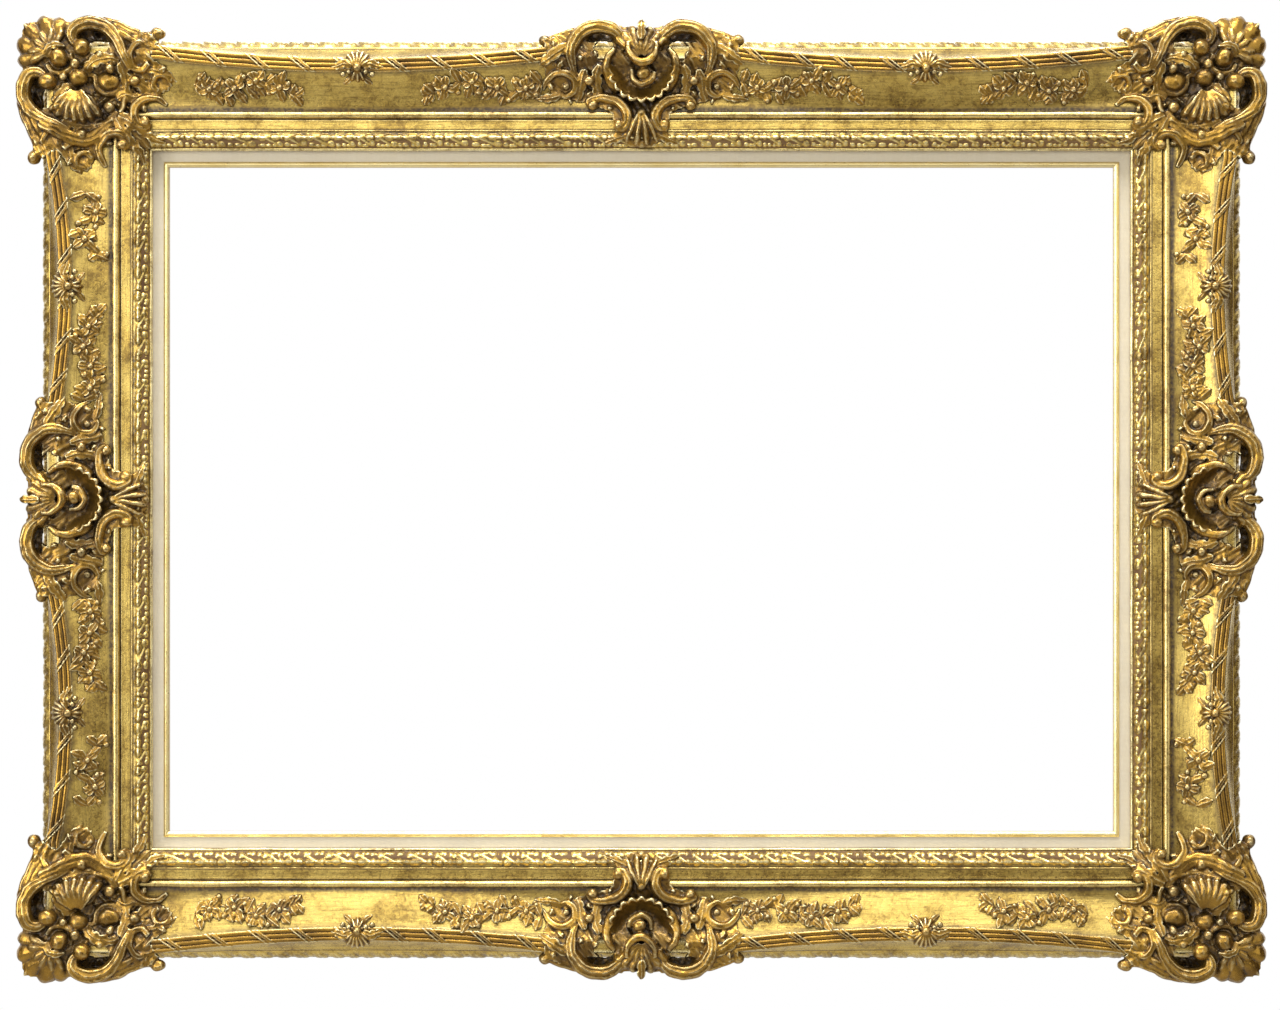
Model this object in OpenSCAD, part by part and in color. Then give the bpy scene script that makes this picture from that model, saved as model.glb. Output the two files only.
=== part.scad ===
// Swept and pierced gilt picture frame with a linen liner, for a landscape canvas.
// The relief is drawn in the picture plane: x to the right, y up, z towards the viewer
// from the back of the frame. stand_up() turns that into the frame hung on a wall.

/* [Picture] */
// Width of the canvas that the frame is made for
canvas_w = 920; // [780:10:1200]
// Height of the canvas
canvas_h = 650; // [560:10:900]
// Room round the canvas in the liner, on each side
canvas_play = 1; // [0.5:0.5:2]
// Depth of the seat that takes the canvas
canvas_seat_d = 19; // [16:0.5:20]

/* [Liner] */
// How far the liner's lip covers the canvas
liner_lip = 5; // [4:0.5:6]
// Width of linen that shows
linen_show = 10.5; // [8:0.5:16]
// Width of the gilt slip along the opening
slip_w = 5; // [4:0.5:6]
// How far the frame's lip covers the liner
frame_lip = 6; // [5:0.5:8]
// Room round the liner in the frame's rabbet, on each side
liner_play = 1.4; // [1:0.1:2]
// Depth of the rabbet behind the frame's lip
rabbet_d = 26; // [24:0.5:28]
// Thickness of the linen
linen_t = 0.6; // [0.4:0.1:1]
// How far the linen is turned down over the liner's outer side
linen_turn = 12; // [6:1:20]

/* [Moulding] */
// Width of a rail from the outer edge to the sight edge
rail_w = 105; // [102:0.5:112]
// Width of the leaf-tip edge on the outside
edge_w = 8; // [7:0.5:9]
// Height of the side wall, up to the leaf-tip edge
edge_low = 24; // [20:1:27]
// Height of the leaf-tip edge where it meets the flank
edge_high = 38; // [36:0.5:40]
// Height of the crest that carries the reeds
crest_h = 57; // [54:0.5:60]
// Height of the foot of the cove
cove_low = 41; // [40:0.5:42]
// Width of the flat on the crest
crest_w = 11; // [10.5:0.5:12]
// Distance of the crest from the outer edge beside the ornaments
crest_end_s = 14.5; // [14:0.5:16]
// How far the crest swings inwards between two ornaments
sweep = 12; // [9:0.5:13]
// Width of the raised fillet between cove and frieze
fillet_w = 6; // [5:0.5:7]
// Height of the raised fillet
fillet_h = 47; // [45:0.5:49]
// Width of the plain frieze
frieze_w = 14; // [12:0.5:15]
// Height of the frieze
frieze_h = 41.5; // [40:0.5:42]
// Width of the carved band next to the sight edge
band_w = 14; // [12:0.5:15]
// Height of the sight edge
sight_h = 33; // [32:0.5:34]

/* [Reeds] */
// Radius of one reed of the bundle
reed_r = 1.8; // [1.6:0.05:1.9]
// Distance between two reeds
reed_pitch = 3.2; // [3:0.1:3.4]
// Distance between two ribbons
ribbon_pitch = 42; // [36:1:60]
// Width of a ribbon along the reeds
ribbon_w = 5; // [3:0.5:8]
// Thickness of a ribbon
ribbon_t = 0.6; // [0.4:0.1:0.8]

/* [Ornaments] */
// Length that a corner ornament takes up along each rail
corner_l = 130; // [124:1:136]
// Length that a centre ornament takes up, from its middle
centre_l = 96; // [90:1:102]
// How far the tallest carving rises over the crest
carve_rise = 21; // [19:0.5:25]
// Thickness of the carving that stands out beyond the rails
overhang_t = 26; // [22:1:28]
// Gap between carving and moulding
seat_gap = 0.3; // [0.2:0.05:0.4]
// Radius of the carving's ribs where they are thickest, as a share of the rail's width
stem_share = 0.0667; // [0.057:0.0001:0.076]
// Length of a flower spray in the top or bottom cove
spray_l = 110; // [90:1:116]
// Length of a flower spray in the cove of an upright
upright_spray_l = 88; // [70:1:92]
// Radius of a spray's flower, as a share of the cove's width
flower_share = 0.24; // [0.19:0.01:0.27]
// Reach of a clasp on the reeds, from its middle
clasp_reach = 14; // [11:0.5:15]

/* [Hardware] */
// Length of a turn button
button_l = 32; // [28:1:36]
// Width of a turn button
button_w = 12; // [10:1:14]
// Thickness of a turn button
button_t = 1.5; // [1:0.25:2]
// Radius of the screws' shanks
shank_r = 2; // [1.5:0.25:2.5]
// Length of the screws' shanks under the head
shank_l = 16; // [12:1:20]
// Radius of the screws' heads
head_r = 3.8; // [3.5:0.1:4.2]
// Width of a hanger's strap
strap_w = 14; // [12:0.5:14]
// Length of a hanger's strap from the ring's pin
strap_l = 42; // [38:1:48]
// Thickness of a hanger's strap
strap_t = 1.2; // [1:0.1:1.5]
// Radius of a hanger ring's wire
wire_r = 1.4; // [1.2:0.1:1.4]
// Radius of a hanger ring to the middle of its wire
ring_r = 9; // [9:0.5:11]
// Radius of a wall bumper
bumper_r = 7; // [5:0.5:9]
// Height of a wall bumper
bumper_h = 7; // [6.5:0.5:9]

/* [Hidden] */
$fn = 64;

// overrun of every cut
over = 1;
gilt = "#c9a23c";
brass = "#b5924a";
steel = "#9a9a98";

// height of the tallest carving above the back
peak_h = crest_h + carve_rise;
stem_r = rail_w * stem_share;

// sizes of the openings, from the canvas outwards
sight_open = [canvas_w - 2 * liner_lip, canvas_h - 2 * liner_lip];
frame_sight = sight_open + 2 * (slip_w + linen_show) * [1, 1];
outer = frame_sight + 2 * rail_w * [1, 1];
liner_w = slip_w + linen_show + frame_lip;
rabbet_w = frame_lip + liner_play;
// depth of the middle of the whole object, which lies at y = 0
mid_h = (peak_h - bumper_h) / 2;

// places on a rail's profile, as distances s from the outer edge
crest_mid_s = crest_end_s + sweep;
groove_w = 1.5;
cove_end_s = rail_w - band_w - frieze_w - groove_w - fillet_w;
cove_run = cove_end_s - crest_mid_s - crest_w / 2;
cove_step = 1.5;
cove_top = crest_h - cove_step;
flank_run = crest_mid_s - crest_w / 2 - edge_w;
foot_sink = 4;
foot_step = 0.5;

// steps of a curved outline, and the share of straight slope in a hollow
curve_steps = 6;
slope_share = 0.45;
function hollow(t) = slope_share * t + (1 - slope_share) * t * t;

// height of the cove at r, measured inwards from the middle of the crest
function cove_h(r) =
    let (t = (crest_w / 2 + cove_run - r) / cove_run)
    cove_low + (cove_top - cove_low) * hollow(max(0, min(1, t)));

// the swept bank: flank, crest and cove, about the middle of the crest at x0
function bank_points(x0, steps = curve_steps) = [
    [x0 - crest_w / 2 - flank_run, edge_high - foot_sink],
    for (i = [0 : steps])
        let (t = i / steps)
        [x0 - crest_w / 2 - flank_run * (1 - t), edge_high + (crest_h - edge_high) * hollow(t)],
    [x0 + crest_w / 2, crest_h],
    for (i = [0 : steps])
        let (t = i / steps)
        [x0 + crest_w / 2 + cove_run * t, cove_h(crest_w / 2 + cove_run * t)],
    [x0 + crest_w / 2 + cove_run, edge_high - foot_sink]];

// widths and heights of the small members next to the sight edge
sight_flat = 2;
bead_r = 1.5;
band_high = frieze_h - 0.5 * bead_r;
band_bulge_share = 0.3;
groove_d = 3;
fillet_round_share = 0.3;
back_bevel = 2;

// height of the carved band at t, from 0 at the frieze to 1 at the sight edge
function band_drop(t) =
    band_high - (band_high - sight_h) * t + band_bulge_share * (band_high - sight_h) * sin(180 * t);

// the bed that the carving lies on: the rail's height at s, in broad lines
band_s = rail_w - band_w;
frieze_s = band_s - frieze_w;
bed_steps = 4;
function bed_h(s) = lookup(s, [
    [crest_end_s, crest_h],
    for (i = [0 : bed_steps])
        let (r = crest_w / 2 + cove_run * i / bed_steps) [crest_end_s + r, cove_h(r)],
    [cove_end_s, fillet_h], [cove_end_s + fillet_w, fillet_h], [band_s, frieze_h], [rail_w, sight_h]]);

module rail_profile() {
    polygon([
        [back_bevel, 0], [rail_w - rabbet_w, 0], [rail_w - rabbet_w, rabbet_d],
        [rail_w, rabbet_d], [rail_w, sight_h], [rail_w - sight_flat, sight_h],
        for (i = [1 : curve_steps])
            let (t = 1 - i / curve_steps)
            [band_s + 2 * bead_r + (band_w - sight_flat - 2 * bead_r) * t, band_drop(t)],
        for (i = [0 : curve_steps])
            [band_s + bead_r + bead_r * cos(180 * i / curve_steps),
             frieze_h + bead_r * sin(180 * i / curve_steps)],
        [frieze_s, frieze_h], [frieze_s, frieze_h - groove_d],
        [frieze_s - groove_w, frieze_h - groove_d],
        [frieze_s - groove_w, fillet_h - fillet_w * fillet_round_share],
        [frieze_s - groove_w - fillet_w * fillet_round_share, fillet_h],
        [cove_end_s + fillet_w * fillet_round_share, fillet_h],
        [cove_end_s, fillet_h - fillet_w * fillet_round_share],
        [cove_end_s, cove_low - foot_step], [crest_mid_s, cove_low - foot_step],
        [crest_mid_s, edge_high - foot_step], [edge_w, edge_high - foot_step], [edge_w, edge_high],
        for (i = [1 : curve_steps])
            let (t = i / curve_steps)
            [edge_w * (1 - t), edge_high - (edge_high - edge_low) * (t * t + t) / 2],
        [0, back_bevel]]);
}

// a section drawn as [distance from the outer edge, height] and run along a rail
module run(len, half) {
    translate([0, half, 0]) rotate([90, 0, -90]) linear_extrude(len, center = true) children();
}

// the swags: how far they run in under the ornaments, where a swag's middle lies along
// a rail, and its chord and radius
swag_overlap = 16;
function swag_from(span) = span / 2 - corner_l + swag_overlap;
function swag_to() = centre_l - swag_overlap;
function swag_mid(span) = (swag_from(span) + swag_to()) / 2;
function swag_chord(span) = swag_from(span) - swag_to();
function swag_r(span) = (pow(swag_chord(span) / 2, 2) + sweep * sweep) / (2 * sweep);
function swag_turn(span) = 2 * asin(swag_chord(span) / 2 / swag_r(span));
// distance of the crest from the outer edge, at dx along the rail from the swag's middle
function crest_s(span, dx) =
    crest_mid_s - swag_r(span) + sqrt(pow(swag_r(span), 2) - dx * dx);

// turns a section about the swag's centre, from angle a0 to a1 about its middle
module along_swag(span, half, a0, a1) {
    translate([swag_mid(span), half - crest_mid_s + swag_r(span), 0])
        rotate([0, 0, -90 + a0]) rotate_extrude(angle = a1 - a0, $fn = 360) children();
}

// the bank over a whole rail: straight under the ornaments, swept between them
module bank(span, half) {
    turn = swag_turn(span) / 2 + 1;
    depth = cove_end_s - edge_w;
    for (side = [0, 1]) mirror([side, 0, 0]) {
        intersection() {
            along_swag(span, half, -turn, turn) polygon(bank_points(swag_r(span)));
            translate([swag_to(), half - cove_end_s, 0]) cube([swag_chord(span), depth, crest_h + over]);
        }
        intersection() {
            translate([(span / 2 + swag_from(span)) / 2, 0, 0])
                run(span / 2 - swag_from(span), half) polygon(bank_points(crest_end_s));
            translate([swag_from(span), half - cove_end_s, 0]) cube([span, depth, crest_h + over]);
        }
    }
    intersection() {
        run(2 * swag_to(), half) polygon(bank_points(crest_end_s));
        translate([-swag_to(), half - cove_end_s, 0]) cube([2 * swag_to(), depth, crest_h + over]);
    }
}

// the trapezium that a rail's two mitres leave
module mitred(span, half) {
    linear_extrude(peak_h, convexity = 2)
        polygon([[-span / 2, half], [span / 2, half],
                 [span / 2 - half, 0], [half - span / 2, 0]]);
}

module rail_solid(span, half) {
    intersection() {
        union() {
            run(span, half) rail_profile();
            bank(span, half);
        }
        mitred(span, half);
    }
}

// a swelling value: v[0] at the start, drawn towards v[1] in the middle, v[2] at the end
function swell(v, t) = (1 - t) * (1 - t) * v[0] + 2 * t * (1 - t) * v[1] + t * t * v[2];
// a smooth curve that starts and ends at the first and last of its points
function flow(p, n) =
    let (m = len(p) - 1)
    [for (k = [1 : m - 1]) for (i = [k == 1 ? 0 : 1 : n])
        let (a = k == 1 ? p[0] : (p[k - 1] + p[k]) / 2, b = k == m - 1 ? p[m] : (p[k] + p[k + 1]) / 2, t = i / n)
        (1 - t) * (1 - t) * a + 2 * t * (1 - t) * p[k] + t * t * b];

// a ridged rib with a flat back along a flat path, with its own height and radius at each point
module rib(path, heights, radii) {
    n = len(path) - 1;
    side = [for (i = [0 : n]) let (d = path[min(i + 1, n)] - path[max(i - 1, 0)]) [-d.y, d.x] / norm(d)];
    rings = [for (i = [0 : n]) for (k = [1, 0, -1])
        let (p = path[i] + k * radii[i] * side[i])
        [p.x, p.y, heights[i] + radii[i] * (k == 0 ? 1 : -0.5)]];
    polyhedron(rings, concat(
        [[0, 1, 2], [3 * n + 2, 3 * n + 1, 3 * n]],
        [for (i = [0 : n - 1]) for (k = [0 : 2]) for (part = [0, 1])
            let (j = (k + 1) % 3, m = 3 * i, q = m + 3)
            part == 0 ? [m + k, q + k, q + j] : [m + k, q + j, m + j]]));
}

// a carved piece's height over its bed; what lies on a mitre counts from the nearer edge
function lift_h(p, corner, lift) = bed_h(corner ? min(p.x, p.y) : p.y) + carve_rise * lift;

// a scroll, from its points and a table row: [points, lifts, radii, steps]
module scroll(points, corner, row) {
    path = flow(points, row[3]);
    n = len(path) - 1;
    rib(path, [for (i = [0 : n]) lift_h(path[i], corner, swell(row[1], i / n))],
        [for (i = [0 : n]) stem_r * swell(row[2], i / n)]);
}

module ball(p, h, r, facets = 5) {
    translate([p.x, p.y, h]) sphere(r, $fn = facets);
}

// the smallest body that holds all of its points
module body(points) {
    hull() polyhedron(points, [[for (i = [0 : len(points) - 1]) i]]);
}

// a lobe of a shell: ridged, narrow at its root and broad and round at its tip
lobe_belly_share = 0.7;
lobe_tip_share = 0.55;
module lobe(root, tip, heights, radii) {
    way = tip - root;
    side = stem_r * radii[1] * [-way.y, way.x] / norm(way);
    r = stem_r * radii[1];
    low = heights[1] - r / 2;
    belly = root + lobe_belly_share * way;
    end = tip + lobe_tip_share * r * way / norm(way);
    body([[root.x, root.y, heights[0]],
          for (w = [-1, 1]) [belly.x + w * side.x, belly.y + w * side.y, low],
          for (w = [-lobe_tip_share, lobe_tip_share]) [end.x + w * side.x, end.y + w * side.y, low],
          [belly.x, belly.y, low + 1.5 * r], [tip.x, tip.y, low + r],
          [root.x, root.y, heights[0] - stem_r * radii[0]]]);
}

// where a share of a corner's outline lies, counted from an outer edge: over the rail's width
// up to the sight edge, and over the rest of the ornament's length beyond it
corner_sight_share = 0.8;
function corner_way(q) =
    q < corner_sight_share ? rail_w * q / corner_sight_share
    : rail_w + (corner_l - rail_w) * (q - corner_sight_share) / (1 - corner_sight_share);
// and a share of a centre's outline: its own length along the rail, the rail's width across it
centre_across_share = 0.915;
function place(p, corner) =
    corner ? [corner_way(p.x), corner_way(p.y)] : [centre_l * p.x, rail_w * centre_across_share * p.y];
function places(list, corner) = [for (p = list) place(p, corner)];

// a shell, from a table row: [root, reach, middle and half angle, count, lifts, radii]
module fan(corner, row) {
    root = place(row[0], corner);
    for (i = [0 : row[3] - 1]) {
        a = row[2].x + row[2].y * (2 * i / (row[3] - 1) - 1);
        tip = place(row[0] + row[1] * [cos(a), sin(a)], corner);
        lobe(root, tip, [lift_h(root, corner, row[4][0]), lift_h(tip, corner, row[4][1])], row[5]);
    }
}

// the section of a rail under its ornaments, with fine members as a plain step
seat_steps = 2;
module seat_section(x0) {
    polygon([
        [0, 0], [rail_w, 0], [rail_w, sight_h + bead_r], [rail_w - band_w + 2 * bead_r, frieze_h + bead_r],
        [frieze_s, frieze_h + bead_r], [frieze_s, fillet_h], [cove_end_s, fillet_h],
        [cove_end_s, cove_low], [edge_w, edge_high],
        [edge_w / 2, (edge_high + edge_low) / 2 + foot_sink / 2], [0, edge_low + foot_sink / 2]]);
    intersection() {
        polygon(bank_points(x0, seat_steps));
        translate([edge_w, 0]) square([cove_end_s - edge_w, crest_h]);
    }
}

// the rail under an ornament, grown by a lift; it allows for the swag that starts beneath it
seat_crest_s = max([for (span = [outer.x, outer.y]) crest_s(span, swag_chord(span) / 2 - swag_overlap)]);
module seat(span, half, lift) {
    intersection() {
        run(span, half) offset(delta = lift) {
            seat_section(crest_end_s);
            seat_section(seat_crest_s);
        }
        mitred(span, half);
    }
}

// half of a corner ornament: x runs along the rail from the outer corner, y runs inwards,
// lifts are shares of carve_rise over the bed, radii are shares of stem_r
corner_scroll_shares = [
    [[[0.33, 0.12], [0.24, 0.12], [0.21, -0.02], [0.28, -0.12], [0.42, -0.13], [0.56, -0.12],
      [0.65, -0.04], [0.76, -0.03], [0.87, -0.04]], [0.48, 0.4, -0.25], [0.85, 0.9, 0.6], 2],
    [[[0.48, -0.1], [0.58, -0.03], [0.63, 0.08], [0.65, 0.19], [0.71, 0.26], [0.8, 0.2], [0.79, 0.1]],
     [0.25, 0.5, 0.15], [0.5, 0.75, 0.4], 1],
    [[[0.72, 0.24], [0.84, 0.38], [0.95, 0.42], [1, 0.32], [0.92, 0.25], [0.85, 0.32]],
     [0.5, 0.6, 0.45], [0.5, 0.55, 0.4], 1],
    [[[0.91, 0.48], [0.83, 0.42], [0.73, 0.45], [0.68, 0.54], [0.71, 0.64], [0.78, 0.62]],
     [0.3, 0.5, 0.2], [0.35, 0.8, 0.5], 2],
    [[[0.52, 0.44], [0.62, 0.54], [0.72, 0.7], [0.8, 0.8]], [0.85, 0.4, 0.2], [0.9, 0.75, 0.4], 1]];
corner_ball_shares = [[0.285, 0.08, 0.48, 1.1], [0.875, -0.045, -0.23, 0.9], [0.76, 0.615, 0.2, 0.65]];
// the parts on its diagonal: an outer shell, a hanging shell and their buttons
corner_fan_shares = [
    [[0.12, 0.12], 0.235, [225, 60], 5, [0.78, -0.25], [0.9, 1.25]],
    [[0.12, 0.12], 0.28, [225, 14], 2, [0.78, -0.35], [0.9, 1.1]],
    [[0.29, 0.34], 0.27, [82, 48], 6, [1.05, 0.55], [0.8, 0.75]]];
corner_button_shares = [[0.12, 0.12, 0.55, 1.25], [0.29, 0.31, 0.9, 1.4], [0.5, 0.3, 0.6, 1.4]];
corner_plate_shares = [[-0.1, 0.3], [-0.13, 0.15], [-0.12, -0.02], [-0.08, -0.09], [0, -0.12],
                       [0.16, -0.12], [0.28, -0.1], [0.4, 0.1], [0.1, 0.4]];

// half of a centre ornament: x runs along the rail from its middle, y runs inwards
centre_scroll_shares = [
    [[[0.67, 0.3], [0.7, 0.08], [0.6, -0.1], [0.4, -0.13], [0.22, -0.09], [0.13, 0.1]],
     [0.25, 0.25, 0.55], [0.5, 0.95, 0.7], 2],
    [[[0.58, -0.06], [0.7, 0.0], [0.8, 0.05], [0.88, 0.04]], [0.1, -0.1, -0.25], [0.7, 0.6, 0.4], 1],
    [[[0.15, 0.27], [0.3, 0.32], [0.47, 0.28], [0.52, 0.12]], [0.55, 0.5, 0.1], [0.5, 0.55, 0.45], 1],
    [[[0.46, 0.24], [0.56, 0.48], [0.74, 0.58], [0.84, 0.46], [0.75, 0.36], [0.64, 0.42]],
     [0.2, 0.45, 0.25], [0.55, 0.7, 0.5], 1],
    [[[0.48, 0.69], [0.4, 0.6], [0.25, 0.6], [0.12, 0.7], [0.11, 0.84], [0.19, 0.93], [0.26, 0.88]],
     [0.35, 0.45, 0.2], [0.55, 0.8, 0.6], 1]];
centre_ball_shares = [[0.92, 0.03, -0.25, 0.85], [0.25, 0.88, 0.2, 0.7]];
// the parts on its middle line: a cup with flutes above, a shell below and a husk
centre_button_shares = [[0, 0.34, 0.75, 1.15], [0, 0.76, 0.1, 1.1]];
centre_fan_shares = [
    [[0, 0.16], 0.22, [270, 48], 5, [0.7, -0.05], [0.7, 0.8]],
    [[0, 0.34], 0.27, [90, 68], 7, [0.85, 0.7], [0.7, 0.8]],
    [[0, 0.76], 0.27, [90, 42], 5, [0.2, 0.25], [0.7, 0.5]]];
centre_cup_share = 0.2;
cup_r_share = 1.3;
cup_facets = 10;

// the ground of an ornament: a skin over the rails inside its outline, drawn as shares
ground_t = 3;
corner_ground_shares = [[0, 0], [0.8, 0.03], [0.8, 0.22], [0.72, 0.3], [0.78, 0.42], [0.7, 0.52],
                        [0.72, 0.62], [0.79, 0.79]];
centre_ground_shares = [[0, 0], [0.72, 0], [0.62, 0.3], [0.6, 0.5], [0.4, 0.62], [0.24, 0.75],
                        [0.24, 0.9], [0, 1]];

module carved(corner, scrolls, fans, balls) {
    for (row = scrolls) scroll(places(row[0], corner), corner, row);
    for (row = fans) fan(corner, row);
    for (row = balls)
        let (p = place([row[0], row[1]], corner)) ball(p, lift_h(p, corner, row[2]), stem_r * row[3]);
}

module corner_seats(i, j, lift) {
    mirror([0, j < 0 ? 1 : 0, 0]) seat(outer.x, outer.y / 2, lift);
    mirror([i < 0 ? 0 : 1, 0, 0]) rotate([0, 0, 90]) seat(outer.y, outer.x / 2, lift);
}

module at_corner(i, j) {
    translate([i * outer.x / 2, j * outer.y / 2, 0])
        mirror([max(i, 0), 0, 0]) mirror([0, max(j, 0), 0]) children();
}

module corner_ornament(i, j) {
    color(gilt) difference() {
        union() {
            at_corner(i, j) {
                for (side = [0, 1]) mirror([side, -side, 0])
                    carved(true, corner_scroll_shares, [], corner_ball_shares);
                carved(true, [], corner_fan_shares, corner_button_shares);
                translate([0, 0, crest_h + ground_t - overhang_t]) linear_extrude(overhang_t)
                    polygon(places(corner_plate_shares, true));
            }
            intersection() {
                corner_seats(i, j, seat_gap + ground_t);
                at_corner(i, j) for (side = [0, 1]) mirror([side, -side, 0])
                    linear_extrude(peak_h) polygon(places(corner_ground_shares, true));
            }
        }
        corner_seats(i, j, seat_gap);
    }
}

module centre_ornament(span, half) {
    cup_r = stem_r * cup_r_share;
    color(gilt) difference() {
        union() {
            translate([0, half, 0]) mirror([0, 1, 0]) {
                for (side = [0, 1]) mirror([side, 0, 0])
                    carved(false, centre_scroll_shares, [], centre_ball_shares);
                carved(false, [], centre_fan_shares, centre_button_shares);
                ball(place([0, centre_cup_share], false), peak_h - cup_r * cos(180 / cup_facets), cup_r, cup_facets);
            }
            intersection() {
                seat(span, half, seat_gap + ground_t);
                translate([0, half, 0]) linear_extrude(peak_h)
                    for (side = [0, 1]) mirror([side, 0]) mirror([0, 1])
                        polygon(places(centre_ground_shares, false));
            }
        }
        seat(span, half, seat_gap);
    }
}

// the reeds: one swag of three, with ribbons across, between two ornaments
reed_end = 6;
reed_steps = 4;
function reed_points(grow) = [
    [reed_pitch + reed_r + grow, crest_h], [-reed_pitch - reed_r - grow, crest_h],
    for (k = [-1 : 1]) for (i = [0 : reed_steps])
        let (a = 180 - (k < 0 ? 30 : 60) - i * (180 - (k == 0 ? 120 : 90)) / reed_steps)
        [k * reed_pitch + (reed_r + grow) * cos(a), crest_h + (reed_r + grow) * sin(a)]];

module reed_swag(span, half, side) {
    r = swag_r(span);
    turn = swag_turn(span) - 2 * asin(reed_end / r);
    count = floor(turn / 360 * 2 * PI * r / ribbon_pitch);
    ribbon = ribbon_w / r * 180 / PI;
    color(gilt) mirror([side, 0, 0]) {
        along_swag(span, half, -turn / 2, turn / 2) translate([r, 0]) polygon(reed_points(0));
        for (k = [0 : count - 1]) {
            a = turn * ((k + 0.5) / count - 0.5);
            along_swag(span, half, a - ribbon / 2, a + ribbon / 2) translate([r, 0]) polygon(reed_points(ribbon_t));
        }
    }
}

// shell clasps that bridge the reeds in the middle of each swag and climb the flank from the
// outer edge: x is a share of clasp_reach, y of it too inwards, and outwards of the way to the
// outer edge; lifts are shares of clasp_rise over the flank and the crest
clasp_rise = 7;
clasp_lobe_shares = [
    [[0, -0.2], [0, -0.92], [0.6, 0.5], [0.5, 0.45]], [[0, -0.2], [-0.6, -0.52], [0.6, 0.6], [0.5, 0.45]],
    [[0, -0.2], [0.6, -0.52], [0.6, 0.6], [0.5, 0.45]], [[-0.2, 0], [-0.85, 0], [0.8, 0.5], [0.5, 0.45]],
    [[0.2, 0], [0.85, 0], [0.8, 0.5], [0.5, 0.45]], [[0, 0.4], [0, 0.95], [0.6, 0.5], [0.5, 0.5]]];
clasp_boss_share = 1.15;
function clasp_place(p) = [clasp_reach * p.x, (p.y < 0 ? crest_mid_s : clasp_reach) * p.y];
function clasp_h(y, lift) =
    let (foot = crest_w / 2 + flank_run, end = crest_w / 2 + cove_run)
    clasp_rise * lift + lookup(y, [
        [-crest_mid_s, edge_low], [-foot, edge_high], [-crest_w / 2, crest_h], [crest_w / 2, crest_h],
        for (i = [1 : bed_steps]) let (r = crest_w / 2 + cove_run * i / bed_steps) [r, cove_h(r)]]);
module clasps(span, half) {
    color(gilt) difference() {
        for (side = [0, 1]) mirror([side, 0, 0])
            translate([swag_mid(span), half - crest_mid_s, 0]) mirror([0, 1, 0]) {
                for (row = clasp_lobe_shares)
                    let (root = clasp_place(row[0]), tip = clasp_place(row[1]))
                        lobe(root, tip, [clasp_h(root.y, row[2][0]), clasp_h(tip.y, row[2][1])], row[3]);
                ball([0, 0], crest_h, stem_r * clasp_boss_share, 8);
            }
        run(span, half) offset(delta = seat_gap) {
            seat_section(crest_mid_s);
            translate([crest_mid_s, 0])
                polygon([[-crest_w / 2, crest_h], [crest_w / 2, crest_h],
                         [reed_pitch + reed_r, crest_h + reed_r + ribbon_t],
                         [-reed_pitch - reed_r, crest_h + reed_r + ribbon_t]]);
        }
    }
}

// flower sprays that lie in the cove: each has a waving stem, leaves, flowers and a bud
spray_mid_share = 0.52;
spray_wave_share = 0.17;
spray_wave_turn = 400;
leaf_turn = 50;
spray_corner_gap = 34;
spray_centre_gap = 14;
leaf_t = 3;
leaf_l_share = 0.4;
leaf_w_share = 0.21;
leaf_l = leaf_l_share * cove_run;
leaf_w = leaf_w_share * cove_run;
flower_r = flower_share * cove_run;
stem_t = 1.5;
// a point on the cove, lifted off it, at x along the rail and s from the outer edge
function swag_dx(span, x) = max(-swag_chord(span) / 2, min(swag_chord(span) / 2, x - swag_mid(span)));
function on_cove(span, half, p, lift) =
    [p.x, p.y, cove_h(half - p.y - crest_s(span, swag_dx(span, p.x))) + seat_gap + lift];
// a point of the stem, at t from 0 to 1, when it starts at x0 and runs to x1
function stem_point(span, half, x0, x1, t) =
    let (x = x0 + (x1 - x0) * t)
    [x, half - crest_s(span, swag_dx(span, x)) - crest_w / 2
        - cove_run * (spray_mid_share + spray_wave_share * sin(spray_wave_turn * t))];

module leaf(span, half, p, a) {
    way = leaf_l * [cos(a), sin(a)];
    side = leaf_w / 2 * [-sin(a), cos(a)];
    body([on_cove(span, half, p, 0), on_cove(span, half, p + way / 2 + side, 0),
          on_cove(span, half, p + way / 2 - side, 0), on_cove(span, half, p + way, 0),
          on_cove(span, half, p + way / 2, leaf_t)]);
}

// a star of five petals round a raised heart
petal_notch_share = 0.5;
module flower(span, half, p) {
    rim = [for (k = [0 : 9])
        let (r = flower_r * (k % 2 == 0 ? 1 : petal_notch_share), q = p + r * [cos(36 * k), sin(36 * k)])
        on_cove(span, half, q, 0)];
    top = on_cove(span, half, p, leaf_t * 1.5);
    foot = on_cove(span, half, p, 0);
    polyhedron(concat(rim, [top, foot]),
        [for (k = [0 : 9]) for (part = [0, 1]) let (j = (k + 1) % 10) part == 0 ? [j, k, 10] : [k, j, 11]]);
}

leaf_at_shares = [0.1, 0.27, 0.52, 0.66, 0.88];
flower_at_shares = [0.4, 0.76];
module spray(span, half, x0, x1) {
    steps = 8;
    path = [for (i = [0 : steps]) stem_point(span, half, x0, x1, i / steps)];
    way = x1 > x0 ? 0 : 180;
    rib(path, [for (p = path) on_cove(span, half, p, stem_t).z], [for (p = path) stem_t]);
    for (i = [0 : len(leaf_at_shares) - 1])
        leaf(span, half, stem_point(span, half, x0, x1, leaf_at_shares[i]), way + (i % 2 == 0 ? leaf_turn : -leaf_turn));
    for (t = flower_at_shares) flower(span, half, stem_point(span, half, x0, x1, t));
}

module sprays(span, half, length) {
    from = swag_from(span) - spray_corner_gap;
    to = swag_to() + spray_centre_gap;
    color(gilt) for (side = [0, 1]) mirror([side, 0, 0]) {
        spray(span, half, from, from - length);
        spray(span, half, to, to + length);
    }
}

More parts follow.
